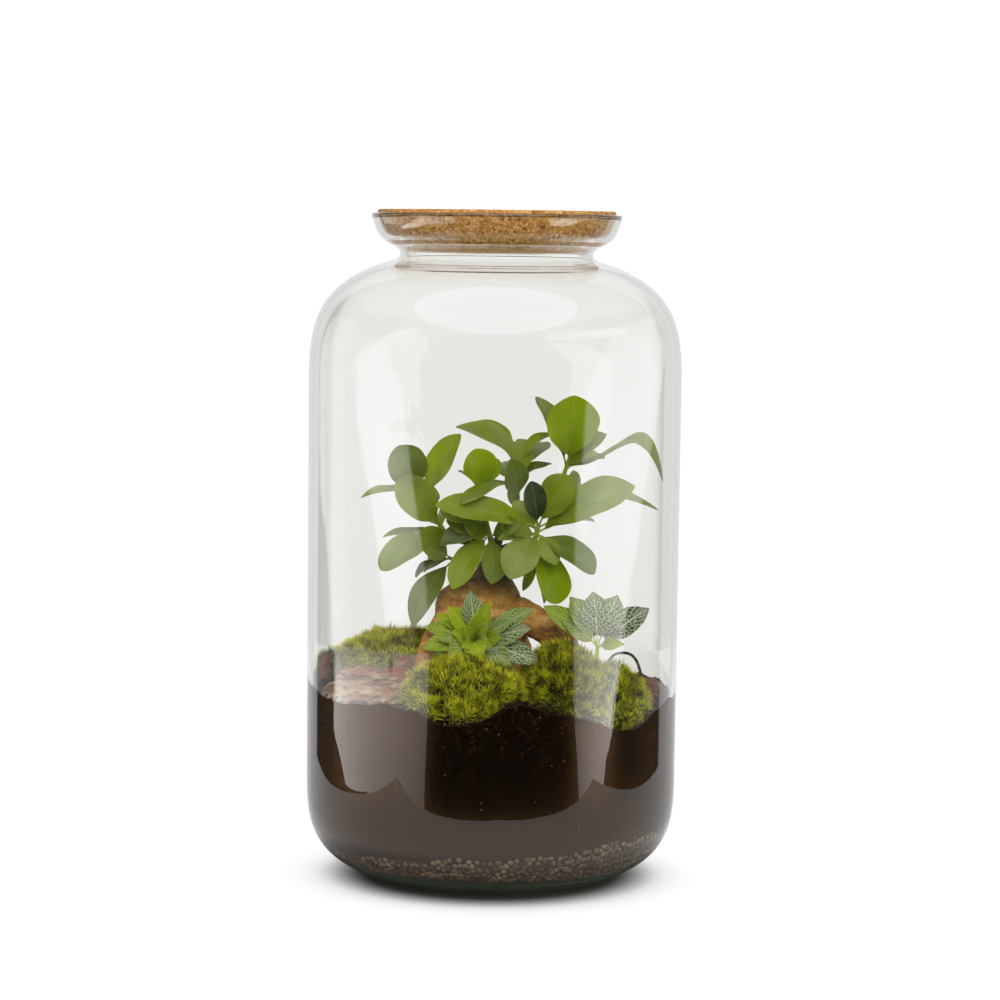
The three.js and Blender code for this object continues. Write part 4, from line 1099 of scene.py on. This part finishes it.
nervePlants = {
    "front": {
        "stem": [[-9, -50, 106, 1.3], [-10, -49, 130, 1.3], [-10.6, -47, 151, 1.1]],
        "leaves": [
            [-10.6, -47, 152, -13.5, -48, 181.5, 13, 10, 2, -0.2],
            [-10.6, -47, 151, -26.5, -50, 172, 13, 25, 2, 1],
            [-10.6, -47, 150, -8, -62, 172, 13, 15, 2, 1],
            [-10.6, -47, 150, -1, -54, 176, 11, 20, 2, 0.7],
            [-10.6, -47, 150, 25.3, -46, 171, 12, 30, 2, 0.1],
            [-10.6, -47, 149, 23, -62, 161, 16, 25, 3, -0.2],
            [-10.6, -47, 149, 30, -68, 140, 15, 30, 5, -0.4],
            [-10.6, -47, 149, -42, -62, 148, 14, 35, 4, 0.5],
            [-10.6, -47, 150, -41, -50, 159, 13, 45, 3, 0.5],
            [-10.6, -47, 150, -34, -42, 166, 12, 40, 3, 0.8],
            [-10.6, -47, 149, -6, -77, 145, 16, 10, 5, 0.9],
            [-10.6, -47, 149, 12, -75, 140, 15, 25, 5, 0],
            [-10.6, -47, 149, 6, -66, 156, 13, 20, 3, 0.6],
            [-10.6, -47, 149, -26, -68, 143, 14, 30, 4, 0.3],
            [-10.6, -47, 149, -24, -60, 158, 12, 30, 3, 0.9],
            [-10.6, -47, 149, 19, -58, 149, 14, 35, 4, -0.1],
            [-10.6, -47, 149, -17, -67, 163, 9, 20, 3, 0.7],
            [-10.6, -47, 149, -2, -68, 165, 9, 25, 3, 0.5],
            [-10.6, -47, 149, 13, -62, 166, 10, 30, 3, 0.1],
            [-10.6, -47, 149, -33, -62, 154, 10, 35, 3, 0.3],
            [-10.6, -47, 149, 0, -75, 151, 10, 15, 3, 0.4],
            [-10.6, -47, 149, -17, -72, 150, 10, 20, 3, 0.8],
            [-10.6, -47, 149, -35, -50, 142, 11, 40, 4, -0.5],
            [-10.6, -47, 149, 8, -70, 147, 10, 30, 3, -0.3],
        ],
    },
    "right": {
        "stem": [[63, -33, 104, 1.4], [63.6, -34, 128, 1.4], [64.2, -35, 148, 1.2]],
        "leaves": [
            [64.2, -35, 147, 31, -38, 171.5, 15, 25, 3, 0.4],
            [64.2, -35, 146, 42, -42, 163, 14, 35, 3, 0.2],
            [64.2, -35, 147, 47, -36, 177, 17, 25, 2, 0.1],
            [64.2, -35, 147, 61, -33, 180, 20, 8, 2, -0.4],
            [64.2, -35, 147, 76, -33, 178, 19, 12, 2, -0.4],
            [64.2, -35, 146, 95, -33, 170, 17, 25, 3, -1, 0.65],
            [64.2, -35, 146, 85, -30, 160, 15, 35, 3, -0.8],
            [64.2, -35, 146, 79.5, -48, 150, 8, 30, 2, 0.6],
            [64.2, -35, 146, 76, -2, 158, 18, 40, 4, -0.4],
            [64.2, -35, 146, 52, -16, 166, 16, 40, 2, -0.3],
        ],
    },
}

leafForms = {
    "fig": {
        "outline": [(0, 0), (0.13, 0.03), (0.2, 0.3), (0.28, 0.6), (0.36, 0.82), (0.46, 0.95), (0.58, 1),
                    (0.68, 0.98), (0.77, 0.87), (0.85, 0.68), (0.92, 0.42), (0.97, 0.18), (1, 0.02)],
        "bluntOutline": [(0, 0), (0.13, 0.03), (0.21, 0.25), (0.31, 0.52), (0.43, 0.78), (0.55, 0.94),
                         (0.66, 1), (0.76, 0.98), (0.84, 0.89), (0.9, 0.75), (0.945, 0.58), (0.975, 0.4),
                         (1, 0.12)],
        "start": 0.13, "blunt": 0.25, "fold": 0.3, "wave": 0.11, "ripple": 0.0, "thickness": 0.5,
        "petiole": 0.65},
    "nerve": {
        "outline": [(0, 0), (0.23, 0.04), (0.3, 0.46), (0.38, 0.78), (0.48, 0.96), (0.58, 1), (0.68, 0.95),
                    (0.78, 0.78), (0.87, 0.54), (0.94, 0.26), (1, 0.02)],
        "bluntOutline": [(0, 0), (0.23, 0.04), (0.34, 0.55), (0.5, 0.95), (0.6, 1), (0.75, 0.85), (0.9, 0.5),
                         (1, 0.08)],
        "start": 0.23, "blunt": 0.0, "fold": 0.26, "wave": 0.12, "ripple": 0.06, "thickness": 0.5,
        "petiole": 0.6},
}


def leafSurface(row, form):
    # gives the point of a leaf at a share of its length, a side from -1 to 1, and a height off its face
    base = Vector(row[0:3])
    chord = Vector(row[3:6]) - base
    width, degrees, arch = row[6:9]
    peak, blunt = row[10:] + [0.5, form["blunt"]][len(row) - 10:]
    along = chord.normalized()
    front = Vector((0, -1, 0.1))
    facing = (front - along * front.dot(along)).normalized()
    across = along.cross(facing).normalized()
    if across.dot(Vector((0.3, 0, 1))) < 0:
        across.negate()
    turn = math.radians(degrees)
    normal = facing * math.cos(turn) + across * math.sin(turn)
    sideways = along.cross(normal).normalized()
    bend = math.log(0.5) / math.log(peak)
    phase = (row[3] * 0.37 + row[5] * 0.21) % 6.28

    def pointAt(share, side, lift=0.0):
        bent = max(share, 1e-6) ** bend
        half = (1 - blunt) * between(form["outline"], share) + blunt * between(form["bluntOutline"], share)
        half *= width / 2
        rise = 4 * arch * bent * (1 - bent)
        fold = form["fold"] * half * (0.6 * (math.sqrt(side * side + 0.01) - 0.1) + 0.4 * side * side)
        wave = form["wave"] * half * side * side * math.sin(9 * share + phase + side)
        ripple = form["ripple"] * half * math.sin(phase + 44 * share - 14 * abs(side)) * min(1, 3 * abs(side))
        return (base + chord * share + sideways * (side * half)
                + normal * (rise + fold + wave + ripple + lift))
    return pointAt


def bladeTemplate(form):
    # a flat grid: along its length in x from the form's start to 1, and across it in y from -1 to 1
    selectOnly()
    bpy.ops.mesh.primitive_grid_add(x_subdivisions=26, y_subdivisions=10, size=2)
    grid = bpy.context.object
    for vertex in grid.data.vertices:
        vertex.co.x = 1 - (1 - form["start"]) * ((1 - vertex.co.x) / 2) ** 1.4
    return grid


def ribMap(piece):
    # the whole piece takes the colour of a leaf's midrib
    piece.data.uv_layers.new(name="UVMap")
    for point in piece.data.uv_layers["UVMap"].data:
        point.uv = (0.5, 0.5)


def stalkTemplate():
    # a thin stalk along x from 0 to 1, which goes on under the leaf as its midrib
    stalk = loftRings([circlePoints(6, lambda a: (k / 14 / mm, math.cos(a) / mm, math.sin(a) / mm))
                       for k in range(15)])
    ribMap(stalk)
    return stalk


def makePlant(shape, form, blade):
    blades, stalks = [], []
    for row in shape["leaves"]:
        pointAt = leafSurface(row, form)
        leaf = addObject("leaf", blade.data.copy())
        for vertex in leaf.data.vertices:
            vertex.co = pointAt(vertex.co.x, vertex.co.y) * mm
        paintValue(leaf, "tone", row[9])
        blades.append(leaf)
        stalk = addObject("stalk", stalkShape.data.copy())
        for vertex in stalk.data.vertices:
            t, side, lift = vertex.co
            share = t * 0.86
            radius = form["petiole"] * (1 - 0.85 * t)
            under = -0.7 * radius - form["thickness"] / 2 if share > form["start"] else -0.3 * radius
            spine = pointAt(share, 0, under + lift * radius)
            ahead = min(share + 0.3, 0.6)
            across = (pointAt(ahead, 1) - pointAt(ahead, -1)).normalized()
            vertex.co = (spine + across * (side * radius)) * mm
        paintValue(stalk, "tone", min(1, row[9] + 0.3))
        stalks.append(stalk)
    leaves = joinPieces(blades)
    applyModifier(leaves, "SOLIDIFY", thickness=form["thickness"] * mm, offset=0)
    stem = tube(curved(shape["stem"], 5), 10)
    ribMap(stem)
    paintValue(stem, "tone", 0.5)
    plant = joinPieces([leaves, stem] + stalks)
    bpy.ops.object.mode_set(mode="EDIT")
    faceOutwards()
    bpy.ops.object.shade_smooth_by_angle(angle=math.radians(50))
    return plant


stalkShape = stalkTemplate()
for kind, node, shapes, material in (("fig", "fig_shoot_", figShoots, figLeaf),
                                     ("nerve", "nerve_plant_", nervePlants, nerveLeaf)):
    blade = bladeTemplate(leafForms[kind])
    for name, shape in shapes.items():
        plant = makePlant(shape, leafForms[kind], blade)
        finishPiece(plant, kind + "_leaves_" + name, material, node + name)
    bpy.data.objects.remove(blade)
bpy.data.objects.remove(stalkShape)
print("fig leaves and nerve plants are made")


# Moss

# Domes are [centre x, centre y, half width, half depth, height]. The tufts stand on a smaller dark base,
# painted shade that shows between them.
mossCushions = {
    "front": {"domes": [[-16, -72, 34, 35, 26]], "seed": 11, "tufts": 1350, "bright": 0.93},
    "right": {"domes": [[45, -60, 26, 37, 34], [72, -56, 19, 29, 26]], "seed": 23, "tufts": 2000,
              "bright": 0.78},
    "back_left": {"domes": [[-62, 26, 38, 35, 25]], "seed": 37, "tufts": 2100, "bright": 0.95},
    "left_edge": {"domes": [[-100, 4, 8, 9, 11]], "seed": 41, "tufts": 130, "bright": 0.7},
}
# Levels are (height, leaves in the round, lean in degrees)
tuftShape = {"bladeLength": 5.8, "bladeWidth": 0.9, "flat": 0.45,
             "levels": [(0.0, 4, 66), (1.2, 4, 46), (2.4, 3, 22)]}
mossBed = {"rings": [1, 0.97, 0.92, 0.85, 0.76, 0.66, 0.55, 0.43, 0.3, 0.16, 0.05], "width": 0.9,
           "rise": 0.88, "sink": 3, "inset": 7, "reach": 109, "rooted": 1.8, "clump": 4, "clumpScale": 0.17}


def makeTuft():
    # one moss shoot: three rounds of narrow leaves, the upper ones steeper
    length, width = tuftShape["bladeLength"] * mm, tuftShape["bladeWidth"] * mm
    blades = []
    for height, count, lean in tuftShape["levels"]:
        for k in range(count):
            selectOnly()
            bpy.ops.mesh.primitive_cone_add(vertices=3, radius1=width / 2, radius2=0, depth=length,
                                            end_fill_type="NOTHING", location=(0, 0, length / 2))
            blade = bpy.context.object
            bakePlace()
            turn = 2 * math.pi * (k + height * 0.4) / count
            blade.data.transform(Matrix.Translation((0, 0, height * mm))
                                 @ Matrix.Rotation(turn, 4, "Z")
                                 @ Matrix.Rotation(math.radians(lean), 4, "X")
                                 @ Matrix.Diagonal((1, tuftShape["flat"], 1, 1)))
            tip = max(blade.data.vertices, key=lambda v: v.co.length)
            # each leaf bright at its tip and near black at its foot: partly its own colour, partly painted
            # shade inside the cushion
            paintValue(blade, "tone", [1.0 if v.index == tip.index else height / 8
                                       for v in blade.data.vertices])
            blades.append(blade)
    return joinPieces(blades)


def makeCushion(shape, tuft):
    rng = random.Random(shape["seed"])
    parts = []
    total = sum(dome[2] * dome[3] for dome in shape["domes"])
    for cx, cy, halfWidth, halfDepth, height in shape["domes"]:
        def pointAt(angle):
            x = cx + halfWidth * mossBed["width"] * share * math.cos(angle)
            y = cy + halfDepth * mossBed["width"] * share * math.sin(angle)
            return (x, y, soilTop(x, y) + rise - (mossBed["sink"] if share == 1 else 0))

        rings = []
        for share in mossBed["rings"]:
            rise = height * math.sqrt(1 - share ** 2) * mossBed["rise"]
            rings.append(circlePoints(48, pointAt))
        base = loftRings(rings)
        # the base takes the darkest tone: painted shade between the tufts
        paintValue(base, "tone", 0.0)
        keepInside(base, mossBed["inset"])
        parts.append(base)
        places = []
        wanted = shape["tufts"] * halfWidth * halfDepth / total
        while len(places) < wanted:
            share, angle = math.sqrt(rng.random()), rng.uniform(0, 2 * math.pi)
            rise = math.sqrt(1 - share ** 2)
            normal = Vector((math.cos(angle) * share / halfWidth, math.sin(angle) * share / halfDepth,
                             max(rise, 0.08) / height)).normalized()
            if rng.random() > 0.3 / max(normal.z, 0.12):
                continue
            x = cx + halfWidth * share * math.cos(angle)
            y = cy + halfDepth * share * math.sin(angle)
            reach = math.hypot(x, y)
            if reach > mossBed["reach"]:
                # pressed against the glass, down over the compost's edge
                x, y = x * mossBed["reach"] / reach, y * mossBed["reach"] / reach
            scale = mossBed["clumpScale"]
            clump = noise.noise(Vector((x * scale, y * scale, height * rise * scale)))
            z = soilTop(x, y) + height * rise - mossBed["rooted"] + mossBed["clump"] * clump
            up = (normal + Vector((rng.uniform(-0.3, 0.3), rng.uniform(-0.3, 0.3), 0.55))).normalized()
            size = rng.uniform(0.75, 1.25)
            places.append(Matrix.Translation(Vector((x, y, z)) * mm)
                          @ up.to_track_quat("Z", "Y").to_matrix().to_4x4()
                          @ Matrix.Rotation(rng.uniform(0, 6.28), 4, "Z") @ Matrix.Scale(size, 4))
        parts.append(scatterCopies(tuft, places, "tufts"))
    cushion = joinPieces(parts)
    for point in cushion.data.attributes["tone"].data:
        point.value *= shape["bright"]
    keepInside(cushion, 0.7)
    return cushion


tuft = makeTuft()
for name, shape in mossCushions.items():
    finishPiece(makeCushion(shape, tuft), "moss_tufts_" + name, moss, "moss_" + name)
bpy.data.objects.remove(tuft)
print("moss is made")


# Loose bark and dry stem

# For each piece of bark: the seed of its relief, its tone from pale to dark red brown, how far it is
# cut up, and the scale of its relief
barkPieces = {"front": (5, 0.05, 8, 1.0), "rear": (9, 0.25, 8, 1.0), "point": (12, 0.4, 5, 0.5),
              "red_chip": (15, 0.8, 5, 0.5), "flat_chip": (17, 0.6, 5, 0.5), "left_strip": (19, 0.65, 5, 0.5)}


def flake(piece, depth, size, seed):
    # steps the surface up and down in plates, as bark breaks
    mesh = piece.data
    normals = [vertex.normal.copy() for vertex in mesh.vertices]
    for vertex, normal in zip(mesh.vertices, normals):
        at = Vector((vertex.co.x * 0.7, vertex.co.y, vertex.co.z * 1.4)) / (size * mm)
        distances, points = noise.voronoi(at + Vector((seed, seed * 2, 0)))
        level = noise.noise(points[0] * 3.1)
        crack = max(0.0, 1 - (distances[1] - distances[0]) * 5)
        vertex.co += normal * ((level - 0.6 * crack) * depth * mm)
    mesh.update()


for name, (seed, tone, cuts, scale) in barkPieces.items():
    piece = addObject("bark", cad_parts["bark_" + name].data.copy())
    selectOnly(piece)
    bpy.ops.object.mode_set(mode="EDIT")
    bpy.ops.mesh.select_all(action="SELECT")
    bpy.ops.mesh.remove_doubles(threshold=1e-5)
    bpy.ops.mesh.subdivide(number_cuts=cuts)
    bpy.ops.object.mode_set(mode="OBJECT")
    roughen(piece, 2.0 * scale, 10 * scale, stretch=(0.6, 0.8, 1.6), seed=seed, ridged=True)
    flake(piece, 2.8 * scale, 6.5 * scale, seed)
    roughen(piece, 0.35 * scale, 1.6, seed=seed + 1)
    paintValue(piece, "tone", tone)
    bpy.ops.object.shade_smooth_by_angle(angle=math.radians(20))
    finishPiece(piece, "loose_bark_" + name, looseBark, "bark_" + name)

# Routes are [x, y, z, radius]
deadStem = {
    "hook": [[70, -27, 134, 0.9], [75, -28, 140.6, 0.9], [83, -29.5, 141.6, 0.9], [88, -31, 137.4, 0.9],
             [91.5, -32, 127, 0.8]],
    "rootlets": [[[30, -102, 125, 0.35], [35, -105, 122, 0.32], [41, -103, 119.5, 0.3], [43, -103, 114, 0.2]],
                 [[33, -100, 122, 0.3], [31, -104, 117, 0.28], [35, -104, 113, 0.2]],
                 [[47, -98, 121, 0.35], [49, -100, 115, 0.3], [46, -101, 110, 0.2]]],
}
hook = tube(curved(deadStem["hook"], 8), 10)
roughen(hook, 0.12, 1.5, seed=6)
rootlets = [tube(curved(route, 6), 6) for route in deadStem["rootlets"]]
finishPiece(joinPieces([hook] + rootlets), "dry_stem", dryStem, "dead_stem")
print("loose bark and dry stem are made")
